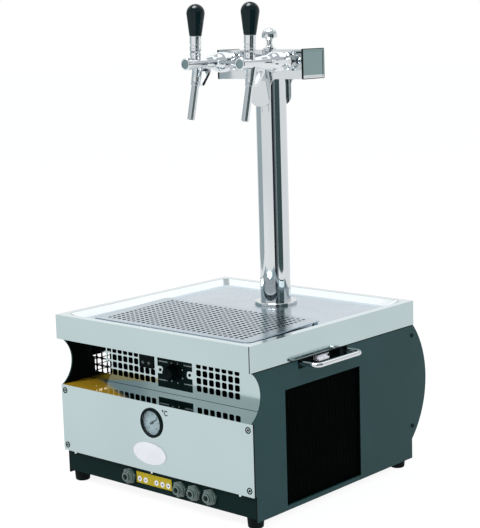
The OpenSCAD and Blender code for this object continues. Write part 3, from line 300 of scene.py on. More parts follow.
def make_pimples():
    """Fine pimples of powder coat or moulded plastic, with a broad mottle and specks of dust."""
    tree, given, made = new_group(
        "pimples",
        [("Vector", "NodeSocketVector", None), ("Scale", "NodeSocketFloat", 900.0)],
        [("Height", "NodeSocketFloat"), ("Mottle", "NodeSocketFloat"), ("Dust", "NodeSocketFloat")],
    )
    place = given.outputs["Vector"]
    fine = tree.nodes.new("ShaderNodeTexNoise")
    fine.inputs["Detail"].default_value = 2.0
    tree.links.new(place, fine.inputs["Vector"])
    tree.links.new(given.outputs["Scale"], fine.inputs["Scale"])
    mottle = noise(tree, place, scale=9.0, detail=3.0)
    dust = noise(tree, place, scale=160.0, detail=5.0, roughness=0.7)
    tree.links.new(fine.outputs["Fac"], made.inputs["Height"])
    tree.links.new(mottle, made.inputs["Mottle"])
    tree.links.new(dust, made.inputs["Dust"])
    return tree


grain_group = make_grain()
pimple_group = make_pimples()


def start_finish(name):
    finish = bpy.data.materials.new(name)
    finish.use_nodes = True
    tree = finish.node_tree
    place = tree.nodes.new("ShaderNodeTexCoord")
    return finish, tree, tree.nodes["Principled BSDF"], place.outputs["Object"]


def use_group(tree, group, vector):
    node = tree.nodes.new("ShaderNodeGroup")
    node.node_tree = group
    tree.links.new(vector, node.inputs["Vector"])
    return node


def blend_colours(tree, mask, first, second, shader):
    mix = tree.nodes.new("ShaderNodeMix")
    mix.data_type = "RGBA"
    mix.inputs["A"].default_value = (*first, 1.0)
    mix.inputs["B"].default_value = (*second, 1.0)
    tree.links.new(mask, mix.inputs["Factor"])
    tree.links.new(mix.outputs["Result"], shader.inputs["Base Color"])


def bump(tree, shader, height, depth):
    node = tree.nodes.new("ShaderNodeBump")
    node.inputs["Strength"].default_value = 1.0
    node.inputs["Distance"].default_value = depth * mm
    tree.links.new(height, node.inputs["Height"])
    tree.links.new(node.outputs["Normal"], shader.inputs["Normal"])


def shade(colour, factor):
    return tuple(min(1.0, part * factor) for part in colour)


def sheet_metal(name, colour, rough, depth, lines=level_lines):
    """Bare metal with fine lines along one direction, and a roughness between two values."""
    tint_share = 0.03
    finish, tree, shader, place = start_finish(name)
    shader.inputs["Metallic"].default_value = 1.0
    grain = use_group(tree, grain_group, place)
    grain.inputs["Stretch"].default_value = lines
    tint = spread(tree, grain.outputs["Tint"], 0.0, 1.0)
    blend_colours(tree, tint, shade(colour, 1 - tint_share), shade(colour, 1 + tint_share), shader)
    tree.links.new(spread(tree, grain.outputs["Wipes"], *rough), shader.inputs["Roughness"])
    bump(tree, shader, grain.outputs["Lines"], depth)
    return finish


def coated(name, colour, rough, depth, scale=900.0, gloss=0.5):
    """Paint, plastic or rubber with a pimpled skin and a slight mottle."""
    mottle_share = 0.08
    dust_share = 0.12
    finish, tree, shader, place = start_finish(name)
    shader.inputs["Specular IOR Level"].default_value = gloss
    skin = use_group(tree, pimple_group, place)
    skin.inputs["Scale"].default_value = scale
    mottle = spread(tree, skin.outputs["Mottle"], 0.0, 1.0)
    blend_colours(tree, mottle, shade(colour, 1 - mottle_share), shade(colour, 1 + mottle_share), shader)
    dusty = spread(tree, skin.outputs["Dust"], rough * (1 - dust_share), rough * (1 + dust_share))
    tree.links.new(dusty, shader.inputs["Roughness"])
    bump(tree, shader, skin.outputs["Height"], depth)
    return finish


# Finishes of this cooler

bright_steel = sheet_metal("bright_steel", (0.46, 0.555, 0.565), rough=(0.08, 0.13), depth=0.002)
tray_steel = sheet_metal("tray_steel", (0.50, 0.58, 0.645), rough=(0.16, 0.24), depth=0.003)
rim_highlight_steel = sheet_metal("rim_highlight_steel", (0.64, 0.755, 0.785), rough=(0.10, 0.16), depth=0.002)
shaded_well_steel = sheet_metal("shaded_well_steel", (0.09, 0.11, 0.11), rough=(0.35, 0.45), depth=0.003)
left_rear_rim_highlight_steel = sheet_metal("left_rear_rim_highlight_steel", (0.68, 0.73, 0.745), rough=(0.10, 0.16), depth=0.002)
chrome = sheet_metal("chrome", (0.63, 0.66, 0.675), (0.02, 0.05), depth=0.0004, lines=even_lines)
tap_chrome = sheet_metal("tap_chrome", (0.69, 0.72, 0.74), (0.03, 0.07), depth=0.0004, lines=even_lines)
cap_steel = sheet_metal("cap_steel", (0.225, 0.31, 0.315), (0.20, 0.28), depth=0.003, lines=upright_lines)
bare_aluminium = sheet_metal("bare_aluminium", (0.55, 0.57, 0.58), rough=(0.25, 0.35), depth=0.003)
drawn_copper = sheet_metal("drawn_copper", (0.55, 0.27, 0.15), rough=(0.20, 0.32), depth=0.002)
slate_paint = coated("slate_paint", (0.012, 0.047, 0.051), rough=0.42, depth=0.006, gloss=0.16)
black_paint = coated("black_paint", (0.006, 0.019, 0.018), rough=0.5, depth=0.006, gloss=0.03)
fin_paint_and_painted_shade = coated("fin_paint_and_painted_shade", (0.0012, 0.0028, 0.0028), rough=0.6, depth=0.003, gloss=0.05)
black_gloss = coated("black_gloss", (0.003, 0.012, 0.014), rough=0.09, depth=0.0006, gloss=0.18)
black_plastic = coated("black_plastic", (0.004, 0.009, 0.010), rough=0.5, depth=0.006, gloss=0.04)
seam_dark_and_painted_shade = coated("seam_dark_and_painted_shade", (0.004, 0.006, 0.006), rough=0.7, depth=0.002, gloss=0.1)
rubber = coated("rubber", (0.004, 0.007, 0.007), rough=0.7, depth=0.01, gloss=0.08)
port_plastic = coated("port_plastic", (0.105, 0.155, 0.142), rough=0.22, depth=0.001, gloss=0.6)
white_plastic = coated("white_plastic", (0.84, 0.84, 0.89), rough=0.3, depth=0.003)
shaded_dial_white = coated("shaded_dial_white", (0.36, 0.46, 0.51), rough=0.5, depth=0.001)
label_film = coated("label_film", (0.50, 0.385, 0.018), rough=0.35, depth=0.002, gloss=0.12)
slot_light = coated("slot_light", (0.42, 0.50, 0.50), rough=0.5, depth=0.002)
ink = coated("ink", (0.02, 0.024, 0.026), rough=0.5, depth=0.001)
foam = coated("foam", (0.012, 0.013, 0.013), rough=0.9, depth=0.05, scale=500.0, gloss=0.1)


def make_lens():
    finish, tree, shader, place = start_finish("lens_glass")
    shader.inputs["Base Color"].default_value = (0.94, 0.97, 0.97, 1.0)
    shader.inputs["Transmission Weight"].default_value = 1.0
    shader.inputs["IOR"].default_value = 1.2
    skin = use_group(tree, pimple_group, place)
    tree.links.new(spread(tree, skin.outputs["Mottle"], 0.0, 0.03), shader.inputs["Roughness"])
    return finish


def make_ledge_steel():
    """Mirror-bright steel with a painted amber reflection slanting over its left end."""
    steel = (0.40, 0.48, 0.49)
    reflected_amber = (0.74, 0.44, 0.03)
    slant = (1.0, 2.0, 0.0)
    reflection_fades = -0.540
    reflection_ends = -0.505
    reflection_metallic = 0.35
    finish, tree, shader, place = start_finish("ledge_steel")
    along = tree.nodes.new("ShaderNodeVectorMath")
    along.operation = "DOT_PRODUCT"
    along.inputs[1].default_value = slant
    tree.links.new(place, along.inputs[0])
    reflection_span = tree.nodes.new("ShaderNodeMapRange")
    reflection_span.interpolation_type = "SMOOTHSTEP"
    reflection_span.inputs["From Min"].default_value = reflection_fades
    reflection_span.inputs["From Max"].default_value = reflection_ends
    reflection_span.inputs["To Min"].default_value = 1.0
    reflection_span.inputs["To Max"].default_value = 0.0
    tree.links.new(along.outputs["Value"], reflection_span.inputs["Value"])
    in_reflection = reflection_span.outputs["Result"]
    blend_colours(tree, in_reflection, steel, reflected_amber, shader)
    bare = tree.nodes.new("ShaderNodeMapRange")
    bare.inputs["To Min"].default_value = 1.0
    bare.inputs["To Max"].default_value = reflection_metallic
    tree.links.new(in_reflection, bare.inputs["Value"])
    tree.links.new(bare.outputs["Result"], shader.inputs["Metallic"])
    grain = use_group(tree, grain_group, place)
    tree.links.new(spread(tree, grain.outputs["Wipes"], 0.02, 0.05), shader.inputs["Roughness"])
    return finish


lens_glass = make_lens()
ledge_steel = make_ledge_steel()

slot_finishes = {
    "stainless": bright_steel,
    "chrome": chrome,
    "slate_paint": slate_paint,
    "black_paint": black_paint,
    "black_rubber": rubber,
    "gloss_black": black_gloss,
    "black_plastic": black_plastic,
    "grey_plastic": port_plastic,
    "white_plastic": white_plastic,
    "yellow_label": label_film,
    "clear_lens": lens_glass,
    "foam": foam,
    "aluminium": bare_aluminium,
    "copper_tube": drawn_copper,
}
for node, slot in node_slots.items():
    wear(nodes[node], slot_finishes[slot])


# Camera, from the photograph's straight edges

camera_azimuth = math.radians(41.727)
camera_elevation = math.radians(9.552)
camera_roll = math.radians(-1.653)
camera_place = Vector((1.6028, -1.80195, 0.7748))
focal_pixels = 1418.894
image_height = 528
sensor = 36.0


def make_camera():
    data = bpy.data.cameras.new("camera")
    data.sensor_width = sensor
    data.lens = focal_pixels * sensor / image_height
    data.clip_end = 100.0
    camera = bpy.data.objects.new("camera", data)
    bpy.context.scene.collection.objects.link(camera)
    flat = math.cos(camera_elevation)
    back = Vector((
        math.sin(camera_azimuth) * flat,
        -math.cos(camera_azimuth) * flat,
        math.sin(camera_elevation),
    ))
    level = Vector((0, 0, 1)).cross(back).normalized()
    raised = back.cross(level)
    right = math.cos(camera_roll) * level + math.sin(camera_roll) * raised
    up = -math.sin(camera_roll) * level + math.cos(camera_roll) * raised
    turn = Matrix((right, up, back)).transposed().to_4x4()
    camera.matrix_world = Matrix.Translation(camera_place) @ turn
    bpy.context.scene.camera = camera


make_camera()


# Floor, light and the cards that polished metal shows

def seen_directly(tree):
    """One where a ray comes from the camera, a reflection or a lens, else zero."""
    path = tree.nodes.new("ShaderNodeLightPath")
    total = path.outputs["Is Camera Ray"]
    for name in ("Is Glossy Ray", "Is Transmission Ray"):
        add = tree.nodes.new("ShaderNodeMath")
        add.operation = "MAXIMUM"
        tree.links.new(total, add.inputs[0])
        tree.links.new(path.outputs[name], add.inputs[1])
        total = add.outputs["Value"]
    return total


def make_floor():
    bpy.ops.object.select_all(action="DESELECT")
    bpy.ops.mesh.primitive_plane_add(size=40.0)
    floor = bpy.context.object
    floor.name = "floor"
    finish = bpy.data.materials.new("pale_floor")
    finish.use_nodes = True
    tree = finish.node_tree
    tree.nodes.remove(tree.nodes["Principled BSDF"])
    plain = tree.nodes.new("ShaderNodeBsdfDiffuse")
    plain.inputs["Color"].default_value = (0.8, 0.8, 0.8, 1.0)
    shadowed = tree.nodes.new("ShaderNodeBsdfDiffuse")
    shadowed.inputs["Color"].default_value = (0.18, 0.18, 0.18, 1.0)
    glow = tree.nodes.new("ShaderNodeEmission")
    glow.inputs["Strength"].default_value = 0.9
    lit = tree.nodes.new("ShaderNodeAddShader")
    tree.links.new(glow.outputs["Emission"], lit.inputs[0])
    tree.links.new(shadowed.outputs["BSDF"], lit.inputs[1])
    mix = tree.nodes.new("ShaderNodeMixShader")
    tree.links.new(seen_directly(tree), mix.inputs["Fac"])
    tree.links.new(plain.outputs["BSDF"], mix.inputs[1])
    tree.links.new(lit.outputs["Shader"], mix.inputs[2])
    tree.links.new(mix.outputs["Shader"], tree.nodes["Material Output"].inputs["Surface"])
    wear(floor, finish)


def make_world():
    world = bpy.data.worlds.new("studio")
    world.use_nodes = True
    bpy.context.scene.world = world
    tree = world.node_tree
    backdrop = tree.nodes["Background"]
    backdrop.inputs["Color"].default_value = (1.0, 1.0, 1.0, 1.0)
    fill = tree.nodes.new("ShaderNodeBackground")
    fill.inputs["Color"].default_value = (0.92, 0.97, 1.0, 1.0)
    fill.inputs["Strength"].default_value = 0.55
    mix = tree.nodes.new("ShaderNodeMixShader")
    tree.links.new(seen_directly(tree), mix.inputs["Fac"])
    tree.links.new(fill.outputs["Background"], mix.inputs[1])
    tree.links.new(backdrop.outputs["Background"], mix.inputs[2])
    tree.links.new(mix.outputs["Shader"], tree.nodes["World Output"].inputs["Surface"])


def make_lamp(name, place, aim, size, watts):
    data = bpy.data.lights.new(name, "AREA")
    data.shape = "DISK"
    data.size = size
    data.energy = watts
    lamp = bpy.data.objects.new(name, data)
    lamp.location = place
    lamp.rotation_euler = (Vector(aim) - Vector(place)).to_track_quat("-Z", "Y").to_euler()
    lamp.visible_glossy = False
    bpy.context.scene.collection.objects.link(lamp)


def make_card(name, place, turn, width, height, colour, strength):
    """A plain card that only reflections show."""
    bpy.ops.object.select_all(action="DESELECT")
    bpy.ops.mesh.primitive_plane_add(size=1.0, location=place, rotation=turn)
    card = bpy.context.object
    card.name = name
    card.scale = (width, height, 1.0)
    finish = bpy.data.materials.new(name)
    finish.use_nodes = True
    tree = finish.node_tree
    tree.nodes.remove(tree.nodes["Principled BSDF"])
    glow = tree.nodes.new("ShaderNodeEmission")
    glow.inputs["Color"].default_value = (*colour, 1.0)
    glow.inputs["Strength"].default_value = strength
    tree.links.new(glow.outputs["Emission"], tree.nodes["Material Output"].inputs["Surface"])
    wear(card, finish)
    card.visible_camera = False
    card.visible_diffuse = False
    card.visible_shadow = False
    card.visible_transmission = False


def hang_card(name, place, width, depth, colour=(1, 1, 1), strength=1.0):
    """A level card over the object, facing down."""
    make_card(name, place, (math.pi, 0, 0), width, depth, colour, strength)


def stand_card(name, azimuth, distance, width, low, high, colour):
    """An upright card, square to the line from the object. Azimuth 0 is in front of it."""
    turn = math.radians(azimuth)
    place = (distance * math.sin(turn), -distance * math.cos(turn), (low + high) / 2)
    make_card(name, place, (to_front, 0, turn), width, high - low, colour, strength=1.0)


make_floor()
make_world()
make_lamp("key_lamp", place=(-1.6, -2.4, 2.8), aim=(0, 0, 0.3), size=1.6, watts=70)
make_lamp("side_lamp", place=(2.6, -0.4, 1.9), aim=(0, 0, 0.2), size=1.4, watts=35)
hang_card("ceiling_card", (0, 0, 2.65), width=12.0, depth=12.0, colour=(0.58, 0.62, 0.64))
hang_card("overhead_card", (0, 0, 2.6), width=1.8, depth=1.8, strength=1.6)
hang_card("rear_sky_card", (-0.9, 2.6, 2.6), width=4.6, depth=2.0, strength=1.4)
hang_card("left_sky_card", (-2.3, 0.35, 2.6), width=1.8, depth=2.5, strength=1.4)
hang_card("top_box", (-0.2, -0.3, 2.4), width=0.9, depth=0.9, strength=25.0)
stand_card("black_card", 50, distance=1.3, width=0.36, low=0.1, high=1.2, colour=(0.03, 0.03, 0.04))
stand_card("dim_card", 63.5, distance=1.3, width=0.26, low=0.1, high=1.2, colour=(0.15, 0.20, 0.21))
stand_card("dark_card", 90, distance=1.3, width=0.94, low=0.12, high=1.2, colour=(0.06, 0.10, 0.10))
stand_card("grey_card", -75, distance=2.0, width=2.4, low=0.0, high=1.3, colour=(0.45, 0.53, 0.56))


# Solids dressed plainly, with the width in mm by which their edges are rounded

plain_edges = {
    "base_pan": 0.4,
    "left_side_panel": 0.4,
    "right_side_panel": 0.4,
    "rear_cover": 0.3,
    "grille_panel": 0.0,
    "feet": 0.5,
    "handle_guides": 0.3,
    "handle_stops": 0.8,
    "left_handle": 0.0,
    "right_handle": 0.0,
    "thermostat": 0.0,
    "thermostat_knob": 0.3,
    "terminal_cover": 0.3,
    "badge_plate": 0.4,
    "port_label": 0.0,
    "bulkhead_bodies": 0.8,
    "bulkhead_nuts": 1.0,
    "inlet_collet": 0.6,
    "outlet_collet": 0.6,
    "left_beer_collet": 0.6,
    "right_beer_collet": 0.6,
    "cord_gland": 0.4,
    "thermometer_case": 0.3,
    "thermometer_dial": 0.0,
    "thermometer_needle": 0.0,
    "thermometer_lens": 0.2,
    "compressor": 0.5,
    "compressor_mounts": 0.5,
    "condenser": 0.0,
    "fan_shroud": 0.2,
    "fan_motor": 0.4,
    "fan_blades": 0.2,
    "water_tank": 0.3,
    "tank_insulation": 0.5,
    "evaporator_coil": 0.0,
    "beer_coils": 0.0,
    "agitator_motor": 0.3,
    "agitator_impeller": 0.2,
    "drip_grille": 0.0,
    "column_tube": 0.0,
    "column_flange": 0.5,
    "header_body": 0.4,
    "header_knob": 0.0,
    "tap_shanks": 0.3,
    "left_tap_body": 0.3,
    "right_tap_body": 0.3,
    "tap_spouts": 0.3,
    "left_tap_lever": 0.0,
    "right_tap_lever": 0.0,
    "left_tap_grip": 0.3,
    "right_tap_grip": 0.3,
    "left_flow_lever": 0.4,
    "right_flow_lever": 0.4,
}
dressed = {node: dress(node, edge) for node, edge in plain_edges.items()}


def add_finish(node, finish, test):
    """Gives a dressed solid's faces that pass a test, on their middle and normal, a further finish."""
    piece = dressed[node]
    piece.data.materials.append(finish)
    for face in piece.data.polygons:
        if test(face.center / mm, face.normal):
            face.material_index = len(piece.data.materials) - 1


# Cabinet

panel_low, panel_high = box_mm("front_panel")
front_y = panel_low.y
ledge_band = 2

# the side panels get painted shade: black inside and dark along their front edges, where shadow falls; the
# fin pack is black
for side, node in ((-1, "left_side_panel"), (1, "right_side_panel")):
    add_finish(node, fin_paint_and_painted_shade, lambda middle, normal: normal.x * side < -facing)
    add_finish(node, seam_dark_and_painted_shade, lambda middle, normal: normal.y < -facing and middle.z < panel_high.z)
wear(dressed["condenser"], fin_paint_and_painted_shade)


def on_ledge(middle, normal):
    return normal.z > facing and middle.z > panel_high.z - ledge_band


# the ledge mirrors more sharply than the front, and carries a painted amber reflection at its left end
dressed["front_panel"] = dress("front_panel", edge=0.5)
add_finish("front_panel", ledge_steel, on_ledge)


# Screws

screw_inset_x = 8.7
screw_inset_z = 10
head_h = 2.0
screw_places = [
    (side * (panel_high.x - screw_inset_x), front_y, height)
    for side in (-1, 1)
    for height in (panel_low.z + screw_inset_z, panel_high.z - screw_inset_z)
]


def cross_cutter():
    """Cross recesses for the heads of the front screws."""
    length, width, depth = 4.2, 0.9, 1.6
    bars = []
    for x, y, z in screw_places:
        for size in ((length, depth, width), (width, depth, length)):
            bars.append(add_block(size, (x, y - head_h, z)))
    return join(bars)


def in_recess(middle, normal):
    """Tells the faces of the cross recesses from the face of the head round them."""
    reach = 2.6
    flush = 0.02
    deepest = 0.9
    for x, y, z in screw_places:
        near = math.hypot(middle.x - x, middle.z - z) < reach
        sunk = abs(middle.y - y + head_h) > flush and middle.y < y - deepest
        if near and sunk:
            return True
    return False


def add_dark_reflection_ring(place):
    """A dark ring round a screw head, flat at the back, a painted reflection of dark surroundings in the
    domed head.
    """
    ring_r = 4.5
    thick = 0.95
    bpy.ops.object.select_all(action="DESELECT")
    bpy.ops.mesh.primitive_torus_add(
        location=Vector(place) * mm,
        rotation=(to_front, 0, 0),
        major_radius=ring_r * mm,
        minor_radius=thick * mm,
        major_segments=32,
        minor_segments=10,
    )
    bpy.ops.object.mode_set(mode="EDIT")
    bpy.ops.mesh.bisect(plane_co=Vector(place) * mm, plane_no=(0, 1, 0), use_fill=True, clear_outer=True)
    bpy.ops.object.mode_set(mode="OBJECT")
    return bpy.context.object


dressed["front_screws"] = dress("front_screws", cutter=cross_cutter())
# the cross recesses are painted dark, as painted shade inside them
add_finish("front_screws", seam_dark_and_painted_shade, in_recess)
dressed["side_screws"] = wear(dress("side_screws", edge=0.4), black_paint)
# dark rings round the screw heads, a painted reflection
dark_reflection_rings = [add_dark_reflection_ring(place) for place in screw_places]
screw_reflection_rings = settle(join(dark_reflection_rings), "screw_reflection_rings", seam_dark_and_painted_shade)
smooth_round_faces(screw_reflection_rings)


# Controls in the recess

plate_y = box_mm("grille_panel")[1].y
slot_near, slot_far = plate_y + 0.5, plate_y + 1.2
add_finish(
    "thermostat",
    slot_light,
    lambda middle, normal: normal.y < -facing and slot_near < middle.y < slot_far,
)
terminal_heads = box_mm("terminal_cover")[0].y + 1.1
add_finish("terminal_cover", port_plastic, lambda middle, normal: middle.y < terminal_heads)


def add_knob_scale():
    """A ring of dots round the knob, open at its left."""
    ring = 17.5
    dot_r = 1.1
    drop = 2
    first_angle = -121
    step = 48
    knob_low, knob_high = box_mm("thermostat_knob")
    middle = (knob_low + knob_high) / 2
    dots = []
    for i in range(7):
        angle = math.radians(first_angle + step * i)
        x = middle.x + ring * math.cos(angle)
        z = middle.z - drop + ring * math.sin(angle)
        dots.append(add_mark(corners=16, radius=dot_r, place=(x, plate_y, z)))
    settle(join(dots), "knob_scale", white_plastic)


add_knob_scale()


# Thermometer

case_low, case_high = box_mm("thermometer_case")
gauge_z = (case_low.z + case_high.z) / 2


def add_dial_scale():
    """Marks every 15 degrees of turn, with a longer one and a figure at every third."""
    dial_y = front_y + 2.5
    first_angle = 225
    step = 15
    marks_per_figure = 3
    figure_count = 7
    mark_ring = 17.8
    figure_ring = 13.4
    long_mark, short_mark = 1.3, 0.8
    figure_size = 4.2
    first_figure = -10
    figure_step = 10
    lift = 0.05

    def scale_place(ring, angle, y):
        return (ring * math.cos(angle), y, gauge_z + ring * math.sin(angle))

    marks = []
    for i in range(marks_per_figure * (figure_count - 1) + 1):
        angle = math.radians(first_angle - step * i)
        reach = short_mark if i % marks_per_figure else long_mark
        place = scale_place(mark_ring, angle, dial_y)
        marks.append(add_mark(corners=4, radius=reach, place=place, turn=angle, depth=0.06))
    for i in range(figure_count):
        angle = math.radians(first_angle - step * marks_per_figure * i)
        figure = str(first_figure + figure_step * i)
        place = scale_place(figure_ring, angle, dial_y - lift)
        marks.append(add_text(figure, figure_size, place))
    settle(join(marks), "dial_scale", ink)


def add_unit_mark():
    right, rise, lift = 30.5, 20.6, 0.05
    mark = add_text("°C", size=12, place=(right, front_y - lift, gauge_z + rise), thicken=0.35)
    settle(mark, "unit_mark", ink)


# the dial's white is painted darker, as painted shade under the lens
wear(dressed["thermometer_dial"], shaded_dial_white)
add_dial_scale()
add_unit_mark()


# Label of the ports

label_low, label_high = box_mm("port_label")
disc_t = 0.25
# each arrow's place along the label, and 1 or -1 for its way
arrow_ways = ((-33, 1), (-19, -1), (6, 1), (20, -1), (33, 1))


def add_arrows():
    """Plain arrows on the discs of the label."""
    arrow_r = 2.4
    drop = 2.5
    middle = (label_low + label_high) / 2
    arrows = []
    for offset, way in arrow_ways:
        place = (middle.x + offset, label_low.y, middle.z - drop)
        arrows.append(add_mark(corners=3, radius=arrow_r, place=place, turn=math.pi / 2 * way, depth=0.06))
    settle(join(arrows), "flow_arrows", ink)


add_finish("port_label", white_plastic, lambda middle, normal: middle.y < label_low.y + disc_t)
add_arrows()


# Tray

tray_low, tray_high = box_mm("tray_top")
tray_y = (tray_low.y + tray_high.y) / 2
rim_z = tray_high.z
skirt_z = tray_low.z
floor_z = rim_z - 9.5
rim_w = 12.5
# a face lies at a height of the tray when it is off it by less than this
level_gap = 0.2
# a face of the slope between rim and floor has at least this part of its normal upwards
slope_least = 0.3
grille_high = box_mm("drip_grille")[1]


def shape_tray():
    """Rounds the four corners of the sunk floor and parts the rim into its four sides."""
    corner_near, corner_far = 10, 30
    corner_round = 14
    least_rise = 5
    piece = copy_solid("tray_top")
    pick(piece)

    def on_slope(point):
        inset_x = tray_high.x - abs(point.x / mm)
        inset_y = tray_high.y - tray_y - abs(point.y / mm - tray_y)
        near_corner = corner_near < inset_x < corner_far and corner_near < inset_y < corner_far
        return near_corner and floor_z - level_gap < point.z / mm

    corners = piece.data.vertices
    bpy.ops.object.mode_set(mode="EDIT")
    bpy.ops.mesh.select_mode(type="EDGE")
    bpy.ops.mesh.select_all(action="DESELECT")
    bpy.ops.object.mode_set(mode="OBJECT")
    for edge in piece.data.edges:
        ends = [corners[index].co for index in edge.vertices]
        sloping = abs(ends[0].z - ends[1].z) > least_rise * mm
        edge.select = sloping and on_slope(ends[0]) and on_slope(ends[1])
    bpy.ops.object.mode_set(mode="EDIT")
    bpy.ops.mesh.bevel(offset=corner_round * mm, segments=6, affect="EDGES")
    for place, along in (
        ((tray_low.x + rim_w, 0, 0), (1, 0, 0)),
        ((tray_high.x - rim_w, 0, 0), (1, 0, 0)),
        ((0, tray_low.y + rim_w, 0), (0, 1, 0)),
        ((0, tray_high.y - rim_w, 0), (0, 1, 0)),
    ):
        bpy.ops.object.mode_set(mode="OBJECT")
        for face in piece.data.polygons:
            face.select = on_rim(face.center / mm, face.normal)
        bpy.ops.object.mode_set(mode="EDIT")
        bpy.ops.mesh.select_mode(type="FACE")
        bpy.ops.mesh.bisect(plane_co=Vector(place) * mm, plane_no=along)
    bpy.ops.object.mode_set(mode="OBJECT")
    smooth_round_faces(piece, angle=20)
    return wear(stand_for(piece, "tray_top"), bright_steel)


def on_rim(middle, normal):
    return normal.z > squarely and middle.z > rim_z - level_gap


def on_rim_or_slope(middle, normal):
    return normal.z > slope_least and middle.z > floor_z + level_gap


def on_floor(middle, normal):
    return normal.z > facing and abs(middle.z - floor_z) < level_gap


def in_well(middle, normal):
    """Tells the faces of the well, which the grille laps over, from those of the skirt in front."""
    side_lap, rear_lap = 11.5, 10.8
    skirt_reach = 20
    across = abs(middle.x) < grille_high.x - side_lap
    along = tray_low.y + skirt_reach < middle.y < grille_high.y - rear_lap
    return across and along and middle.z < floor_z - level_gap


def at_corner(middle, normal):
    """Tells the upright corners of the skirt."""
    even_turn = 0.45
    corner_w = 2.1
    lower_edge = 1
    turned = abs(abs(normal.x) - abs(normal.y)) < even_turn and abs(normal.z) < slope_least
    return turned and abs(middle.x) > tray_high.x - corner_w and middle.z > skirt_z + lower_edge


def painted_highlight_side(middle, normal):
    """Tells the left and rear sides of the rim and of the slope inside it, which get a painted highlight.
    """
    slope_reach = 35
    lean = 0.2
    at_left = middle.x < tray_low.x + rim_w
    at_rear = middle.y > tray_high.y - rim_w
    left_slope = normal.x > lean and middle.x < tray_low.x + slope_reach
    rear_slope = normal.y < -lean and middle.y > tray_high.y - slope_reach
    sloping = slope_least < normal.z < squarely and middle.z > floor_z
    return on_rim(middle, normal) and (at_left or at_rear) or sloping and (left_slope or rear_slope)


def add_shadow_strips():
    """Dark strips of painted shadow on the side panels: under the tray's skirt, and behind the edges of the
    front panel.
    """
    thick = 0.8
    skirt_inset = 7
    panel_gap = 1.6
    skirt_size = (thick, tray_high.y - tray_low.y - 2 * skirt_inset, 2.6)
    front_size = (thick, 3.2, panel_high.z - panel_low.z)
    outer_x = box_mm("right_side_panel")[1].x
    front_middle_y = front_y + panel_gap + front_size[1] / 2
    strips = []
    for side in (-1, 1):
        x = side * (outer_x + thick / 2)
        strips.append(add_block(skirt_size, (x, tray_y, skirt_z - skirt_size[2] / 2)))
        strips.append(add_block(front_size, (x, front_middle_y, (panel_low.z + panel_high.z) / 2)))
    for strip in strips:
        round_edges(strip, width=0.3)
    settle(join(strips), "edge_shadow_strips", seam_dark_and_painted_shade)


dressed["tray_top"] = shape_tray()
# dark strips of painted shadow under the skirt and beside the front panel
add_shadow_strips()
# the rim and slope get a lighter copy of the steel, a painted highlight
add_finish("tray_top", rim_highlight_steel, on_rim_or_slope)
add_finish("tray_top", tray_steel, on_floor)
# the well under the grille is painted dark, as painted shade beneath the grille
add_finish("tray_top", shaded_well_steel, in_well)
add_finish("tray_top", seam_dark_and_painted_shade, at_corner)
# a lighter steel on the left and rear sides, a painted highlight
add_finish("tray_top", left_rear_rim_highlight_steel, painted_highlight_side)
wear(dressed["drip_grille"], tray_steel)


# Louvres of the left vent

def add_louvres():
    """Slanting louvres between two upright rails, on the inner face of the left panel."""
    vent_w, vent_h = 194, 189
    vent_y = tray_y - 46
    vent_low = box_mm("base_pan")[0].z + 2.5
    count = 18
    depth = 10.0
    slat_t = 1.0
    slat_lap = 4
    slat_gap = 0.6
    tilt = math.radians(-14)
    rail_t = 2.0
    rail_off = vent_w / 2 + 2.5
    step = vent_h / count
    rail_x = box_mm("grille_panel")[0].x + depth / 2
    slat = add_block(
        (depth, vent_w + slat_lap, slat_t),
        (rail_x + slat_gap, vent_y, vent_low + step / 2),
        turn=(0, tilt, 0),
    )
    round_edges(slat, width=0.3)
    louvres = [slat]
    for i in range(1, count):
        pick(slat)
        bpy.ops.object.duplicate()
        bpy.context.object.location.z += step * i * mm
        louvres.append(bpy.context.object)
    for side in (-1, 1):
        rail = add_block((depth, rail_t, vent_h), (rail_x, vent_y + side * rail_off, vent_low + vent_h / 2))
        round_edges(rail, width=0.4)
        louvres.append(rail)
    settle(join(louvres), "left_vent_louvres", black_paint)


add_louvres()


# Taps and header

# the disc in the nose of each tap lies between these depths
disc_near, disc_far = 0.1, 2.5
for node in ("left_tap_body", "right_tap_body"):
    nose_y = box_mm(node)[0].y
    add_finish(
        node,
        cap_steel,
        lambda middle, normal: normal.y < -facing and disc_near < middle.y - nose_y < disc_far,
    )


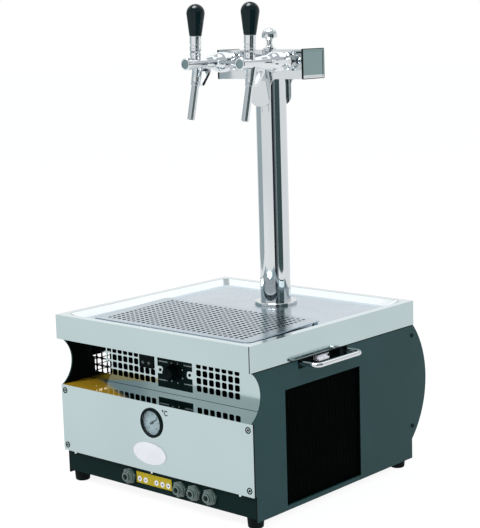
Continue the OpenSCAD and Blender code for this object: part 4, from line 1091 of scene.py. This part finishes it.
def relieve_plunger(node):
    """Opens the front of a plunger's slot, where the leaning lever needs room."""
    room = Vector((12, 10, 7))
    room_end = 14
    rise = 3
    low, high = box_mm(node)
    middle = (low + high) / 2
    cutter = add_block(room, (middle.x, low.y + room_end - room.y / 2, middle.z + rise))
    dressed[node] = dress(node, cutter=cutter)


relieve_plunger("left_plunger")
relieve_plunger("right_plunger")


def finish_end_caps():
    """Gives the header's caps grey faces with dark edges, over a bright lower lip."""
    low, high = box_mm("header_end_caps")
    lip_h = 6.5
    edge = 1.3
    lip_top = low.z + lip_h
    piece = copy_solid("header_end_caps")
    pick(piece)
    bpy.ops.object.mode_set(mode="EDIT")
    for place, along in (
        ((0, 0, lip_top), (0, 0, 1)),
        ((0, 0, low.z + edge), (0, 0, 1)),
        ((0, 0, high.z - edge), (0, 0, 1)),
        ((0, low.y + edge, 0), (0, 1, 0)),
        ((0, high.y - edge, 0), (0, 1, 0)),
    ):
        bpy.ops.mesh.select_all(action="SELECT")
        bpy.ops.mesh.bisect(plane_co=Vector(place) * mm, plane_no=along)
    bpy.ops.object.mode_set(mode="OBJECT")
    round_edges(piece, width=0.4)
    smooth_round_faces(piece)
    dressed["header_end_caps"] = wear(stand_for(piece, "header_end_caps"), seam_dark_and_painted_shade)

    def on_face(middle, normal):
        across = low.y + edge < middle.y < high.y - edge
        return abs(normal.x) > squarely and across and low.z + edge < middle.z < high.z - edge

    def on_lip(middle, normal):
        return on_face(middle, normal) and middle.z < lip_top

    add_finish("header_end_caps", cap_steel, on_face)
    add_finish("header_end_caps", chrome, on_lip)


finish_end_caps()
for node in (
    "tap_shanks", "left_tap_body", "right_tap_body", "tap_spouts", "left_tap_lever", "right_tap_lever",
    "left_flow_lever", "right_flow_lever", "left_plunger", "right_plunger",
):
    dressed[node].data.materials[0] = tap_chrome
for node in ("thermometer_case", "thermostat_knob"):
    wear(dressed[node], black_plastic)


bpy.context.view_layer.update()

bpy.context.scene.view_settings.view_transform = "Standard"
